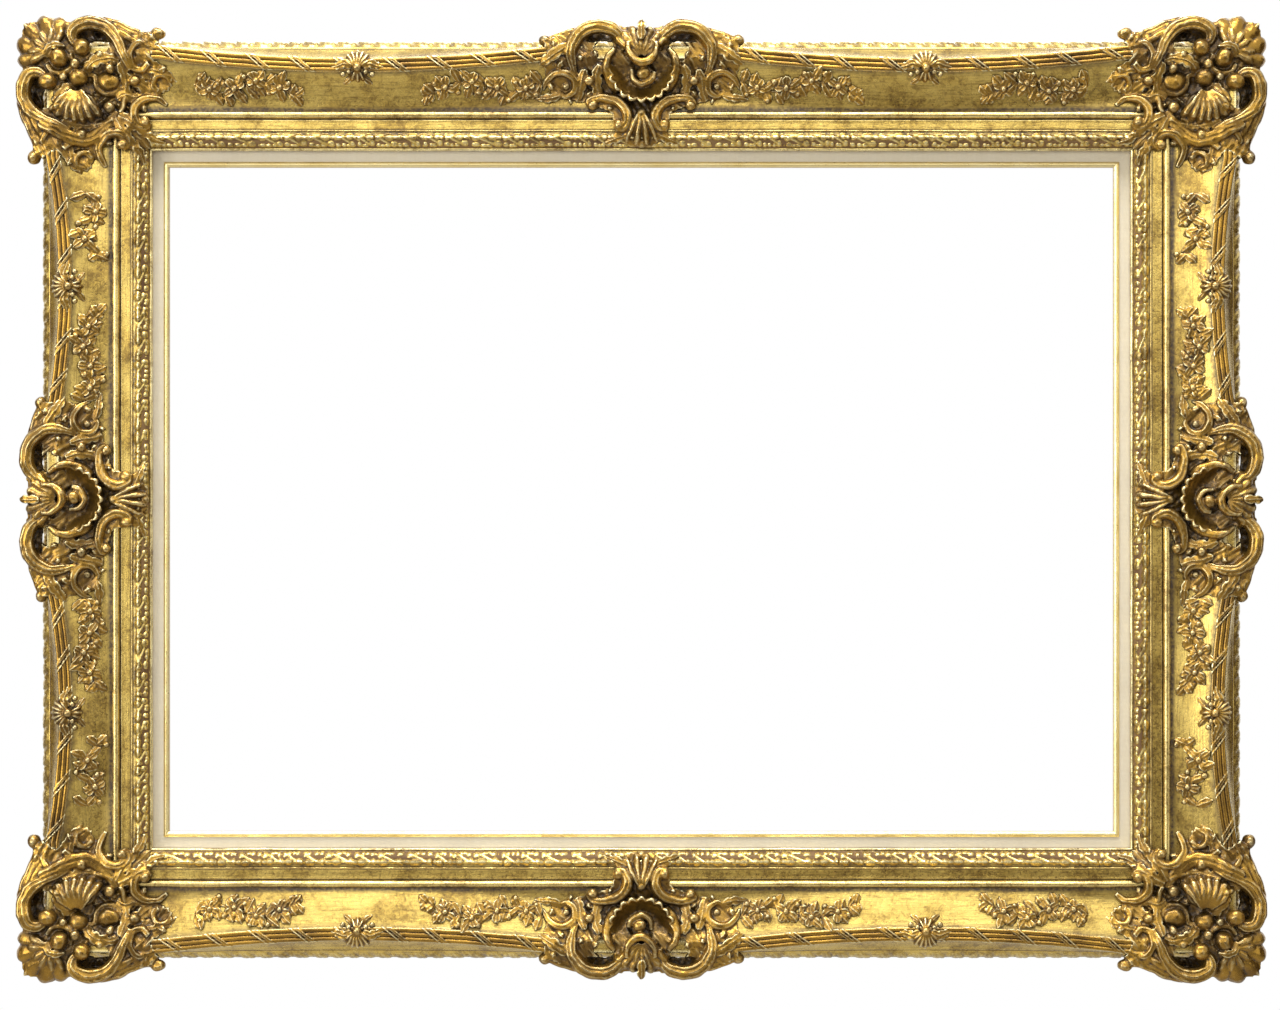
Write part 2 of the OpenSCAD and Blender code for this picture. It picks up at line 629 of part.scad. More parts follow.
// the liner: sections drawn as [distance outwards from the opening, height], run along a side
lip_t = rabbet_d - canvas_seat_d;
linen_drop = 1;
slip_sink = 3;
slip_rise = 1.5;
module liner_run(open_w, open_h, reach) {
    intersection() {
        translate([0, open_h / 2, 0]) rotate([90, 0, 90])
            linear_extrude(open_w + 2 * reach, center = true) children();
        linear_extrude(peak_h) polygon([
            [-open_w / 2 - reach, open_h / 2 + reach], [open_w / 2 + reach, open_h / 2 + reach],
            [open_w / 2 - open_h / 2, 0], [open_h / 2 - open_w / 2, 0]]);
    }
}

linen_top = rabbet_d - linen_t;
module liner_section() {
    seat_q = liner_lip + canvas_play;
    polygon([[seat_q, 0], [liner_w, 0], [liner_w, linen_top], [slip_w + linen_show, linen_top],
             [slip_w, linen_top - linen_drop], [slip_w, rabbet_d - slip_sink],
             [0, rabbet_d - slip_sink], [0, canvas_seat_d], [seat_q, canvas_seat_d]]);
}

module linen_section() {
    low = rabbet_d - linen_turn;
    polygon([[liner_w, low], [liner_w + linen_t, low], [liner_w + linen_t, rabbet_d],
             [slip_w + linen_show, rabbet_d], [slip_w, rabbet_d - linen_drop],
             [slip_w, linen_top - linen_drop], [slip_w + linen_show, linen_top],
             [liner_w, linen_top]]);
}

module slip_section() {
    low = rabbet_d - slip_sink;
    steps = 8;
    polygon([[slip_w, low], [0, low],
             for (i = [0 : steps])
                 [slip_w * i / steps,
                  rabbet_d - linen_drop / 2 + slip_rise * sin(180 * i / steps)]]);
}

module liner_core(w, h) { color("#d8c49a") liner_run(w, h, liner_w) liner_section(); }
module linen(w, h) { color("#e6dccb") liner_run(w, h, liner_w + linen_t) linen_section(); }
module slip(w, h) { color("#d9bd6a") liner_run(w, h, slip_w) slip_section(); }

// bow-tie keys let into the backs of the mitres
key_l = 40;
key_end_w = 18;
key_waist_w = 9;
key_d = 10;
key_fit = 0.1;
key_at_share = 0.42;
module key_shape(grow, depth) {
    linear_extrude(depth) polygon([
        [-key_l / 2 - grow, -key_end_w / 2 - grow], [0, -key_waist_w / 2 - grow],
        [key_l / 2 + grow, -key_end_w / 2 - grow], [key_l / 2 + grow, key_end_w / 2 + grow],
        [0, key_waist_w / 2 + grow], [-key_l / 2 - grow, key_end_w / 2 + grow]]);
}
module at_mitre(i, j) {
    s = rail_w * key_at_share;
    translate([i * (outer.x / 2 - s), j * (outer.y / 2 - s), 0]) rotate([0, 0, -45 * i * j]) children();
}
module mitre_key(i, j) { color("#b08b57") at_mitre(i, j) key_shape(0, key_d); }

// screws point to the viewer from the back: a shank in the rail, a domed head behind it
run_fit = 0.05;
head_h = 2.4;
module screw(plate_t) {
    translate([0, 0, -plate_t]) cylinder(h = plate_t + shank_l, r = shank_r);
    intersection() {
        translate([0, 0, -plate_t - head_h]) cylinder(h = head_h, r = head_r);
        translate([0, 0, -plate_t - head_h + head_r]) sphere(head_r * 1.25);
    }
}
module screw_hole() {
    translate([0, 0, -over]) cylinder(h = shank_l + run_fit + over, r = shank_r + run_fit);
}

// turn buttons hold the liner in the rabbet
button_back = 10;
button_play = 0.1;
top_button_share = 0.3;
side_button_share = 0.3;
// where each button's screw stands, with the way that the button points
button_ways = [[0, 1], [0, 1], [0, -1], [0, -1], [-1, 0], [-1, 0], [1, 0], [1, 0]];
button_sides = [-1, 1, -1, 1, 1, -1, 1, -1];
function button_at(k) =
    let (w = button_ways[k], s = rail_w - rabbet_w - button_back)
    w.x == 0 ? [button_sides[k] * top_button_share * outer.x, w.y * (outer.y / 2 - s)]
             : [w.x * (outer.x / 2 - s), button_sides[k] * side_button_share * outer.y];
module at_button(k) {
    w = button_ways[k];
    translate([button_at(k).x, button_at(k).y, 0]) rotate([0, 0, atan2(-w.y, -w.x)]) children();
}
module turn_button(k) {
    tail = button_back - button_w / 4;
    color(brass) at_button(k) translate([0, 0, -button_t]) difference() {
        linear_extrude(button_t) {
            circle(d = button_w);
            translate([0, -button_w / 2]) square([button_l - tail - button_w / 2, button_w]);
            translate([button_l - tail - button_w / 2, 0]) circle(d = button_w);
        }
        translate([0, 0, -over]) cylinder(h = button_t + 2 * over, r = shank_r + run_fit);
    }
}
module button_screws() {
    color(brass) for (k = [0 : len(button_ways) - 1]) at_button(k) screw(button_t + button_play);
}

// hangers: a strap folded round the straight side of a ring, screwed to each upright
hanger_at_share = 0.24;
hanger_s_share = 0.68;
barrel_r = wire_r + run_fit + strap_t;
strap_screw_shares = [0.48, 0.8];
module at_hanger(i) {
    translate([i * (outer.x / 2 - rail_w * hanger_s_share), outer.y * hanger_at_share, 0])
        mirror([i < 0 ? 1 : 0, 0, 0]) children();
}
module hanger_strap(i) {
    color(brass) at_hanger(i) difference() {
        union() {
            translate([0, -strap_w / 2, -strap_t]) cube([strap_l - strap_w / 2, strap_w, strap_t]);
            translate([strap_l - strap_w / 2, 0, -strap_t]) cylinder(h = strap_t, r = strap_w / 2);
            translate([0, 0, -barrel_r]) rotate([90, 0, 0])
                cylinder(h = strap_w, r = barrel_r, center = true);
        }
        translate([0, 0, -barrel_r]) rotate([90, 0, 0])
            cylinder(h = strap_w + 2 * over, r = wire_r + run_fit, center = true);
        for (t = strap_screw_shares)
            translate([strap_l * t, 0, -strap_t - over]) cylinder(h = strap_t + 2 * over, r = shank_r + run_fit);
    }
}
module hanger_ring(i) {
    color(steel) at_hanger(i) translate([0, 0, -barrel_r]) {
        rotate([90, 0, 0]) cylinder(h = 2 * ring_r, r = wire_r, center = true);
        for (j = [-1, 1]) translate([0, j * ring_r, 0]) sphere(wire_r);
        rotate([0, 0, 90]) rotate_extrude(angle = 180) translate([ring_r, 0]) circle(wire_r);
    }
}
module hanger_screws() {
    color(brass) for (i = [-1, 1]) at_hanger(i)
        for (t = strap_screw_shares) translate([strap_l * t, 0, 0]) screw(strap_t);
}

// felt bumpers keep the hangers clear of the wall
bumper_at_share = 0.5;
bumper_top_share = 0.8;
module wall_bumpers() {
    s = rail_w * bumper_at_share;
    color("#3b3733") for (i = [-1, 1]) for (j = [-1, 1])
        translate([i * (outer.x / 2 - s), j * (outer.y / 2 - 2 * s), -bumper_h])
            cylinder(h = bumper_h, r1 = bumper_r * bumper_top_share, r2 = bumper_r);
}

// one rail with its seats for keys, buttons and hangers; side 0 to 3 is top, bottom, left, right
module rail(side) {
    flip = side % 2;
    color(gilt) difference() {
        if (side < 2) mirror([0, flip, 0]) rail_solid(outer.x, outer.y / 2);
        else mirror([flip, 0, 0]) rotate([0, 0, 90]) rail_solid(outer.y, outer.x / 2);
        for (i = [-1, 1]) for (j = [-1, 1])
            translate([0, 0, -over]) at_mitre(i, j) key_shape(key_fit, key_d + key_fit + over);
        for (k = [2 * side, 2 * side + 1]) at_button(k) screw_hole();
        if (side > 1) at_hanger(side == 2 ? -1 : 1)
            for (t = strap_screw_shares) translate([strap_l * t, 0, 0]) screw_hole();
    }
}

// hangs the frame up: its relief faces -y, and its middle is the origin
module stand_up() {
    rotate([90, 0, 0]) translate([0, 0, -mid_h]) children();
}

stand_up() rail(0);  // top_rail
stand_up() rail(1);  // bottom_rail
stand_up() rail(2);  // left_rail
stand_up() rail(3);  // right_rail
stand_up() mitre_key(-1, 1);  // mitre_key_top_left
stand_up() mitre_key(1, 1);  // mitre_key_top_right
stand_up() mitre_key(-1, -1);  // mitre_key_bottom_left
stand_up() mitre_key(1, -1);  // mitre_key_bottom_right
stand_up() reed_swag(outer.x, outer.y / 2, 1);  // reed_top_left
stand_up() reed_swag(outer.x, outer.y / 2, 0);  // reed_top_right
stand_up() rotate([0, 0, 180]) reed_swag(outer.x, outer.y / 2, 0);  // reed_bottom_left
stand_up() rotate([0, 0, 180]) reed_swag(outer.x, outer.y / 2, 1);  // reed_bottom_right
stand_up() rotate([0, 0, 90]) reed_swag(outer.y, outer.x / 2, 0);  // reed_left_upper
stand_up() rotate([0, 0, 90]) reed_swag(outer.y, outer.x / 2, 1);  // reed_left_lower
stand_up() rotate([0, 0, -90]) reed_swag(outer.y, outer.x / 2, 1);  // reed_right_upper
stand_up() rotate([0, 0, -90]) reed_swag(outer.y, outer.x / 2, 0);  // reed_right_lower
stand_up() clasps(outer.x, outer.y / 2);  // reed_clasps_top
stand_up() rotate([0, 0, 180]) clasps(outer.x, outer.y / 2);  // reed_clasps_bottom
stand_up() rotate([0, 0, 90]) clasps(outer.y, outer.x / 2);  // reed_clasps_left
stand_up() rotate([0, 0, -90]) clasps(outer.y, outer.x / 2);  // reed_clasps_right
stand_up() corner_ornament(-1, 1);  // corner_top_left
stand_up() corner_ornament(1, 1);  // corner_top_right
stand_up() corner_ornament(-1, -1);  // corner_bottom_left
stand_up() corner_ornament(1, -1);  // corner_bottom_right
stand_up() centre_ornament(outer.x, outer.y / 2);  // centre_top
stand_up() rotate([0, 0, 180]) centre_ornament(outer.x, outer.y / 2);  // centre_bottom
stand_up() rotate([0, 0, 90]) centre_ornament(outer.y, outer.x / 2);  // centre_left
stand_up() rotate([0, 0, -90]) centre_ornament(outer.y, outer.x / 2);  // centre_right
stand_up() sprays(outer.x, outer.y / 2, spray_l);  // sprays_top
stand_up() rotate([0, 0, 180]) sprays(outer.x, outer.y / 2, spray_l);  // sprays_bottom
stand_up() rotate([0, 0, 90]) sprays(outer.y, outer.x / 2, upright_spray_l);  // sprays_left
stand_up() rotate([0, 0, -90]) sprays(outer.y, outer.x / 2, upright_spray_l);  // sprays_right
stand_up() liner_core(sight_open.x, sight_open.y);  // liner_top
stand_up() rotate([0, 0, 180]) liner_core(sight_open.x, sight_open.y);  // liner_bottom
stand_up() rotate([0, 0, 90]) liner_core(sight_open.y, sight_open.x);  // liner_left
stand_up() rotate([0, 0, -90]) liner_core(sight_open.y, sight_open.x);  // liner_right
stand_up() linen(sight_open.x, sight_open.y);  // linen_top
stand_up() rotate([0, 0, 180]) linen(sight_open.x, sight_open.y);  // linen_bottom
stand_up() rotate([0, 0, 90]) linen(sight_open.y, sight_open.x);  // linen_left
stand_up() rotate([0, 0, -90]) linen(sight_open.y, sight_open.x);  // linen_right
stand_up() slip(sight_open.x, sight_open.y);  // slip_top
stand_up() rotate([0, 0, 180]) slip(sight_open.x, sight_open.y);  // slip_bottom
stand_up() rotate([0, 0, 90]) slip(sight_open.y, sight_open.x);  // slip_left
stand_up() rotate([0, 0, -90]) slip(sight_open.y, sight_open.x);  // slip_right
stand_up() hanger_strap(-1);  // hanger_strap_left
stand_up() hanger_strap(1);  // hanger_strap_right
stand_up() hanger_ring(-1);  // hanger_ring_left
stand_up() hanger_ring(1);  // hanger_ring_right
stand_up() hanger_screws();
stand_up() turn_button(0);  // turn_button_top_left
stand_up() turn_button(1);  // turn_button_top_right
stand_up() turn_button(2);  // turn_button_bottom_left
stand_up() turn_button(3);  // turn_button_bottom_right
stand_up() turn_button(4);  // turn_button_left_upper
stand_up() turn_button(5);  // turn_button_left_lower
stand_up() turn_button(6);  // turn_button_right_upper
stand_up() turn_button(7);  // turn_button_right_lower
stand_up() button_screws();
stand_up() wall_bumpers();
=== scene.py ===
"""Looks of a swept and pierced gilt picture frame with a linen liner, hung upright.

X runs to the right, Z up, and the carved front faces -Y. The mouldings and the carving are
drawn in millimetres: u along a rail from its middle, s inwards from its outer edge and v
above its back, or x and y inwards from an outer corner. They turn into metres as they are
made into pieces.
"""
import math

import bmesh
import bpy
import numpy as np
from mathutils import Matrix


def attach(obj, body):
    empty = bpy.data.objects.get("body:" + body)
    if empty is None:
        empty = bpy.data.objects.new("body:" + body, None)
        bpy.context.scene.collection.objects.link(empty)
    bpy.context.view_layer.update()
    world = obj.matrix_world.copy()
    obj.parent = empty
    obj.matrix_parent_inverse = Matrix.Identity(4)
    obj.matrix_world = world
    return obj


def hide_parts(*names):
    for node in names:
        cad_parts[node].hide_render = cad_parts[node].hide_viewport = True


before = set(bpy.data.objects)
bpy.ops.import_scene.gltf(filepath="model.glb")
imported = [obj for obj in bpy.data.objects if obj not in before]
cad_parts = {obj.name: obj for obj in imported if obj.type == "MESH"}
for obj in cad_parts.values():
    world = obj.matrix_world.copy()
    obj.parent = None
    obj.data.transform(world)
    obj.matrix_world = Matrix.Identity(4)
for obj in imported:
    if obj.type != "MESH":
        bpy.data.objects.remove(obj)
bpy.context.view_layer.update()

MM = 0.001

# sizes of the moulding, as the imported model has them
OUTER_W, OUTER_H = 1151.0, 881.0
RAIL_W = 105.0
MIDDLE_V = 35.5
EDGE_W, EDGE_LOW, EDGE_HIGH = 8.0, 24.0, 38.0
CREST_H, CREST_W, CREST_END, SWEEP = 57.0, 11.0, 14.5, 12.0
COVE_LOW, COVE_END = 41.0, 69.5
FLANK_RUN = CREST_END + SWEEP - CREST_W / 2 - EDGE_W
COVE_RUN = COVE_END - CREST_END - SWEEP - CREST_W / 2
FILLET_W, FILLET_H = 6.0, 47.0
SWAG_FROM_MIDDLE, SWAG_FROM_END = 80.0, 114.0
GILDING = 0.75
# the face of the gilding beyond the fillet, and where it lies in the wood, in places (s, v)
FRIEZE = [(75.9, 38.9), (76.6, 38.9), (76.7, 41.9), (77.3, 42.2), (78.2, 42.1), (79.5, 42.0), (81, 42.0),
          (82.5, 42.0), (84, 42.0), (85.5, 42.0), (86.6, 41.9)]
BEAD_S, BEAD_V, BEAD_W, BEAD_H = 87.5, 41.9, 0.8, 1.1
BAND = [(88.5, 41.8), (91, 42.1), (92, 43.1), (93.4, 43.1), (95, 40.9), (103, 33.2)]
LIP_AND_BACK = [(103.3, 33.4), (104.6, 33.4), (105.3, 32.8), (105.3, 27.5), (103.5, 28.5), (96.0, 31.0),
                (77.0, 35.5), (70.0, 37.0), (20.0, 35.0), (6.5, 22.0), (1.5, 4.0)]
# running ornament: how far it repeats and how high it rises
TIP_PITCH, TIP_RISE = 17.0, 2.1
LEAF_PITCH, LEAF_RISE = 23.0, 2.8
# reeds and ribbons
REED_APART, REED_R, REED_H, REEDS_W = 4.5, 2.45, 2.3, 7.0

# sizes of the linen liner; q runs outwards from its opening
SIGHT_S, SLIP_W, LINEN_SHOW, LINER_W = 105.0, 5.0, 10.5, 21.5
LINEN_V, LINEN_T, LINEN_TURN = 26.0, 0.6, 12.0

SIDES = {"top": OUTER_W, "bottom": OUTER_W, "left": OUTER_H, "right": OUTER_H}


# Places and surfaces

def on_rail(side, points):
    """Points (u, s, v) of one side of the frame, in metres."""
    u, s, v = np.asarray(points, float).T
    half = (OUTER_H if side in ("top", "bottom") else OUTER_W) / 2
    x, z = {"top": (u, half - s), "bottom": (-u, s - half),
            "left": (s - half, u), "right": (half - s, -u)}[side]
    return np.stack([x, MIDDLE_V - v, z], 1) * MM


def at_corner(i, j, points):
    """Points (x, y, v) of a corner, with i to the right and j upwards as +1 or -1, in metres."""
    x, y, v = np.asarray(points, float).T
    return np.stack([i * (OUTER_W / 2 - x), MIDDLE_V - v, j * (OUTER_H / 2 - y)], 1) * MM


def hollow(t):
    """The hollow rise of flank and cove, from 0 at the foot to 1 at the crest."""
    t = np.clip(t, 0, 1)
    return 0.45 * t + 0.55 * t * t


def crest_s(span, u):
    """How far the crest's middle lies from the outer edge."""
    a, b = SWAG_FROM_MIDDLE, span / 2 - SWAG_FROM_END
    r = ((b - a) ** 2 / 4 + SWEEP ** 2) / (2 * SWEEP)
    d = np.clip(np.abs(u) - (a + b) / 2, (a - b) / 2, (b - a) / 2)
    return CREST_END + SWEEP - r + np.sqrt(r * r - d * d)


def bank_v(span, u, s):
    """Height of flank, crest and cove."""
    c = crest_s(span, u)
    flank = EDGE_HIGH + (CREST_H - EDGE_HIGH) * hollow((s - c + CREST_W / 2 + FLANK_RUN) / FLANK_RUN)
    cove = COVE_LOW + (CREST_H - 1.5 - COVE_LOW) * hollow((CREST_W / 2 + COVE_RUN - s + c) / COVE_RUN)
    return np.where(s < c - CREST_W / 2, flank, np.where(s > c + CREST_W / 2, cove, CREST_H))


def ground_v(s):
    """The carving's own ground beside the crest, in broad lines."""
    return np.interp(s, [0, 20, 32, 44, 58, 70, 77, 91, 105],
                     [57, 57, 50.5, 45.5, 43, 46, 46.5, 43, 36])


def sweep_through(rows, count):
    """A smooth line through rows of numbers, at equal steps of its length in plan."""
    p = np.asarray(rows, float)
    ends = np.vstack([2 * p[0] - p[1], p, 2 * p[-1] - p[-2]])
    t = np.linspace(0, 1, 20, endpoint=False)[:, None]
    parts = []
    for k in range(len(p) - 1):
        a, b, c, d = ends[k:k + 4]
        parts.append(0.5 * (2 * b + (c - a) * t + (2 * a - 5 * b + 4 * c - d) * t ** 2
                            + (3 * b - a - 3 * c + d) * t ** 3))
    line = np.vstack(parts + [p[-1:]])
    length = np.r_[0, np.cumsum(np.linalg.norm(np.diff(line[:, :2], axis=0), axis=1))]
    at = np.linspace(0, length[-1], count)
    return np.stack([np.interp(at, length, line[:, k]) for k in range(p.shape[1])], 1)


def waver(points, size, wave, seed):
    """The unevenness of handwork: a smooth shift of each point, repeated by its seed."""
    rng = np.random.default_rng(seed)
    shift = np.zeros_like(points)
    for axis in range(3):
        for _ in range(5):
            way = rng.normal(size=3)
            way *= 2 * math.pi / (wave * rng.uniform(0.7, 1.5)) / np.linalg.norm(way)
            shift[:, axis] += np.sin(points @ way + rng.uniform(0, 7))
    return points + size * shift / math.sqrt(5)


def placed(name, data):
    """A new object in the scene."""
    made = bpy.data.objects.new(name, data)
    bpy.context.scene.collection.objects.link(made)
    return made


# Carved forms

def laid_path(rows, step, least):
    """A smooth path through rows of (x, y, height, half width), and the way across it."""
    length = np.linalg.norm(np.diff(np.asarray(rows)[:, :2], axis=0), axis=1).sum()
    path = sweep_through(rows, max(least, int(length / step)))
    way = np.gradient(path[:, :2], axis=0)
    way /= np.linalg.norm(way, axis=1)[:, None]
    return path, np.stack([-way[:, 1], way[:, 0]], 1)


class Carving:
    """Closed carved forms, gathered to become one piece."""

    def __init__(self):
        self.points, self.faces, self.count = [], [], 0

    def add(self, points, faces):
        self.points.append(points)
        self.faces += [[k + self.count for k in face] for face in faces]
        self.count += len(points)

    def tube(self, rings):
        """A form from an array of its closed rings, with both ends closed."""
        n, m, _ = rings.shape
        k = np.arange(n * m).reshape(n, m)
        r = np.roll(k, -1, axis=1)
        faces = np.stack([k[:-1], r[:-1], r[1:], k[1:]], -1).reshape(-1, 4).tolist()
        faces += [[n * m, r[0, i], k[0, i]] for i in range(m)]
        faces += [[n * m + 1, k[-1, i], r[-1, i]] for i in range(m)]
        self.add(np.vstack([rings.reshape(-1, 3), rings[0].mean(0), rings[-1].mean(0)]), faces)

    def band(self, path, aside, q, w, v, low, foot):
        """A form along a path: heights v at places q across it, from -1 to 1, and closed below."""
        q = np.r_[q, foot, -foot]
        xy = path[:, None, :2] + (q * w)[..., None] * aside[:, None]
        self.tube(np.concatenate([xy, np.hstack([v, low, low])[..., None]], -1))

    def scroll(self, rows, flutes=1, groove=0.9, rise=0.9, thick=6.0):
        """A fluted band along rows of (x, y, height, half width)."""
        path, aside = laid_path(rows, 1.6, 10)
        q = np.linspace(-1, 1, 17)
        arch = np.sqrt(np.clip(1 - np.abs(q) ** 2.3, 0, 1)) - 1
        ridge = np.abs(np.sin(flutes * math.pi * (q + 1) / 2)) ** 0.7 - 1
        w = path[:, 3:4]
        v = path[:, 2:3] + rise * w * arch + groove * np.clip(w / 4, 0, 1) * ridge
        self.band(path, aside, q, w, v, path[:, 2:3] - rise * w - thick, 0.8)

    def leaf(self, rows, lobes=4, notch=0.4, cup=0.25, vein=0.7, thick=6.0, across=15):
        """A scalloped leaf with a rib along rows of (x, y, height, half width)."""
        path, aside = laid_path(rows, 1.1, max(14, lobes * 7))
        t = np.linspace(0, 1, len(path))[:, None]
        q = np.linspace(-1, 1, across)
        scallop = 1 - notch * (1 - np.abs(np.sin(math.pi * lobes * t))) ** 1.6
        w = path[:, 3:4] * scallop
        veins = vein * (np.abs(np.cos(math.pi * lobes * (t + 0.12 * np.abs(q)))) ** 2) * np.abs(q) ** 0.5
        v = (path[:, 2:3] + cup * w * (q * q - 0.35) - 0.25 * w * np.abs(q) ** 5
             - veins + 0.9 * np.exp(-(q / 0.16) ** 2))
        self.band(path, aside, q, w, v, path[:, 2:3] - thick - 0.2 * w, 0.7)

    def shell(self, root, reach, heading, spread, ribs, v_root, v_rim, dome=3.0, rib=1.8,
              flare=0.07, lip=2.5, thick=4.0, inner=0.12, long_share=0.0):
        """A shell of ribs that spread from its root; heading and spread are in degrees."""
        per = 8
        j = np.linspace(0, 1, ribs * per + 1)
        a = np.radians(heading + spread * (2 * j - 1))
        ridge = np.abs(np.sin(math.pi * ribs * j)) ** 0.8
        edge = reach * (1 + flare * (2 * ridge - 1)) * (1 + long_share * np.cos(a - math.radians(heading)))
        f = np.r_[np.linspace(0, 0.9, 12), 0.96, 1.0]
        r = edge[:, None] * (inner + (1 - inner) * f)
        v = (v_root + (v_rim - v_root) * f + dome * np.sin(math.pi * f)
             + rib * (ridge[:, None] - 1) * f ** 0.6 - lip * np.clip((f - 0.9) / 0.1, 0, 1) ** 2)
        xy = np.stack([root[0] + r * np.cos(a)[:, None], root[1] + r * np.sin(a)[:, None]], -1)
        top = np.concatenate([xy, v[..., None]], -1)
        low = top[:, ::-1].copy()
        low[..., 2] -= thick
        low[:, :, :2] = root + (low[:, :, :2] - root) * 0.97
        self.tube(np.concatenate([top, low], 1))

    def turned(self, centre, profile, count=20, stretch=1.0, angle=0.0):
        """A turned form about (x, y, height), from rows of (radius, height) down its outside."""
        a = np.arange(count) / count * 2 * math.pi
        r = np.array([p[0] for p in profile])[:, None]
        v = np.repeat(np.array([p[1] for p in profile])[:, None], count, axis=1)
        x, y = r * np.cos(a) * stretch, r * np.sin(a)
        c, s = math.cos(math.radians(angle)), math.sin(math.radians(angle))
        self.tube(np.stack([centre[0] + c * x - s * y, centre[1] + s * x + c * y, centre[2] + v], -1))

    def ball(self, x, y, top, r, drop=None):
        """A round boss whose top has that height, on a stem that goes down by drop."""
        a = np.radians([4, 14, 26, 38, 50, 64, 78, 92])
        rows = [(r * math.sin(t), r * math.cos(t) - r) for t in a]
        self.turned((x, y, top), rows + [(r * 0.96, -(drop or 1.4 * r))])

    def block(self, outline, top, low, pierced=(), step=1.6):
        """Solid ground inside an outline, with a curved top and round piercings (x, y, radius)."""
        outline = np.asarray(outline, float)
        lo, hi = outline.min(0), outline.max(0)
        nx, ny = (np.ceil((hi - lo) / step)).astype(int)
        gx, gy = lo[0] + step * np.arange(nx + 1), lo[1] + step * np.arange(ny + 1)
        cx, cy = np.meshgrid(gx[:-1] + step / 2, gy[:-1] + step / 2, indexing="ij")
        inside = np.zeros(cx.shape, bool)
        for (x0, y0), (x1, y1) in zip(outline, np.roll(outline, -1, axis=0)):
            cross = (y0 > cy) != (y1 > cy)
            inside ^= cross & (cx < x0 + (cy - y0) * (x1 - x0) / (y1 - y0 + 1e-9))
        for x, y, r in pierced:
            inside &= (cx - x) ** 2 + (cy - y) ** 2 > r * r
        px, py = np.meshgrid(gx, gy, indexing="ij")
        v = top(px, py)
        k = np.arange(px.size).reshape(px.shape)
        high = np.stack([px, py, v], -1).reshape(-1, 3)
        base = np.stack([px, py, np.minimum(low(px, py), v - 0.5)], -1).reshape(-1, 3)
        faces, n = [], px.size
        for a, b in zip(*np.nonzero(inside)):
            c = [k[a, b], k[a + 1, b], k[a + 1, b + 1], k[a, b + 1]]
            faces.append(c)
            faces.append([n + q for q in c[::-1]])
            for da, db, e in ((0, -1, 0), (1, 0, 1), (0, 1, 2), (-1, 0, 3)):
                if not (0 <= a + da < nx and 0 <= b + db < ny and inside[a + da, b + db]):
                    p, q = c[e], c[(e + 1) % 4]
                    faces.append([q, p, n + p, n + q])
        used = np.unique(np.concatenate([np.array(f) for f in faces]))
        new = np.full(2 * n, -1)
        new[used] = np.arange(len(used))
        self.add(np.vstack([high, base])[used], [[int(new[q]) for q in f] for f in faces])

    def mirrored(self, turn):
        """The forms so far, and their mirror images by turn."""
        points, faces = np.vstack(self.points), list(self.faces)
        self.add(turn(points), [face[::-1] for face in faces])


def fused(work, grain=0.8, rounds=2):
    """The forms of a carving grown into one body and worn soft: its points and faces."""
    mesh = bpy.data.meshes.new("rough_out")
    mesh.from_pydata((np.vstack(work.points) * MM).tolist(), [], work.faces)
    rough = placed("rough_out", mesh)
    join = rough.modifiers.new("join", "REMESH")
    join.mode, join.voxel_size, join.use_smooth_shade = "VOXEL", grain * MM, True
    wear = rough.modifiers.new("wear", "SMOOTH")
    wear.factor, wear.iterations = 0.5, rounds
    done = rough.evaluated_get(bpy.context.evaluated_depsgraph_get()).to_mesh()
    points = np.empty(len(done.vertices) * 3)
    done.vertices.foreach_get("co", points)
    faces = [list(face.vertices) for face in done.polygons]
    bpy.data.objects.remove(rough)
    bpy.data.meshes.remove(mesh)
    return points.reshape(-1, 3) / MM, faces


def mark_relief(mesh):
    """Stores how far each point stands out of its neighbours (+) or lies among them (-)."""
    n = len(mesh.vertices)
    co, no = np.empty(n * 3), np.empty(n * 3)
    mesh.vertices.foreach_get("co", co)
    mesh.vertex_normals.foreach_get("vector", no)
    co, no = co.reshape(-1, 3), no.reshape(-1, 3)
    ends = np.empty(len(mesh.edges) * 2, int)
    mesh.edges.foreach_get("vertices", ends)
    a, b = ends.reshape(-1, 2).T
    degree = np.bincount(ends, minlength=n)[:, None]

    def neighbours(values):
        total = np.zeros_like(values)
        np.add.at(total, a, values[b])
        np.add.at(total, b, values[a])
        return total / np.maximum(degree, 1)

    length = np.linalg.norm(co[a] - co[b], axis=1)
    reach = (np.bincount(a, length, n) + np.bincount(b, length, n))[:, None] / np.maximum(degree, 1)
    stand = 3.2 * ((co - neighbours(co)) * no).sum(1, keepdims=True) / np.maximum(reach, 1e-6)
    for _ in range(2):
        stand = 0.5 * stand + 0.5 * neighbours(stand)
    layer = mesh.attributes.new("relief", "FLOAT", "POINT")
    layer.data.foreach_set("value", np.clip(stand[:, 0], -1, 1).astype(np.float32))


def piece(name, points, faces, material, replaces=(), body="frame", grain=None,
          sharp=50):
    """A piece in metres that rides on a body and stands for the CAD nodes it replaces."""
    mesh = bpy.data.meshes.new(name)
    mesh.from_pydata(points.tolist(), [], faces)
    shape = bmesh.new()
    shape.from_mesh(mesh)
    bmesh.ops.recalc_face_normals(shape, faces=shape.faces)
    shape.to_mesh(mesh)
    shape.free()
    mesh.shade_smooth()
    mesh.set_sharp_from_angle(angle=math.radians(sharp))
    if grain is not None:
        layer = mesh.attributes.new("grain", "FLOAT_VECTOR", "POINT")
        layer.data.foreach_set("vector", np.asarray(grain, np.float32).ravel())
    mark_relief(mesh)
    mesh.materials.append(material)
    made = placed(name, mesh)
    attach(made, body)
    if replaces:
        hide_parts(*replaces)
    return made


# Finishes

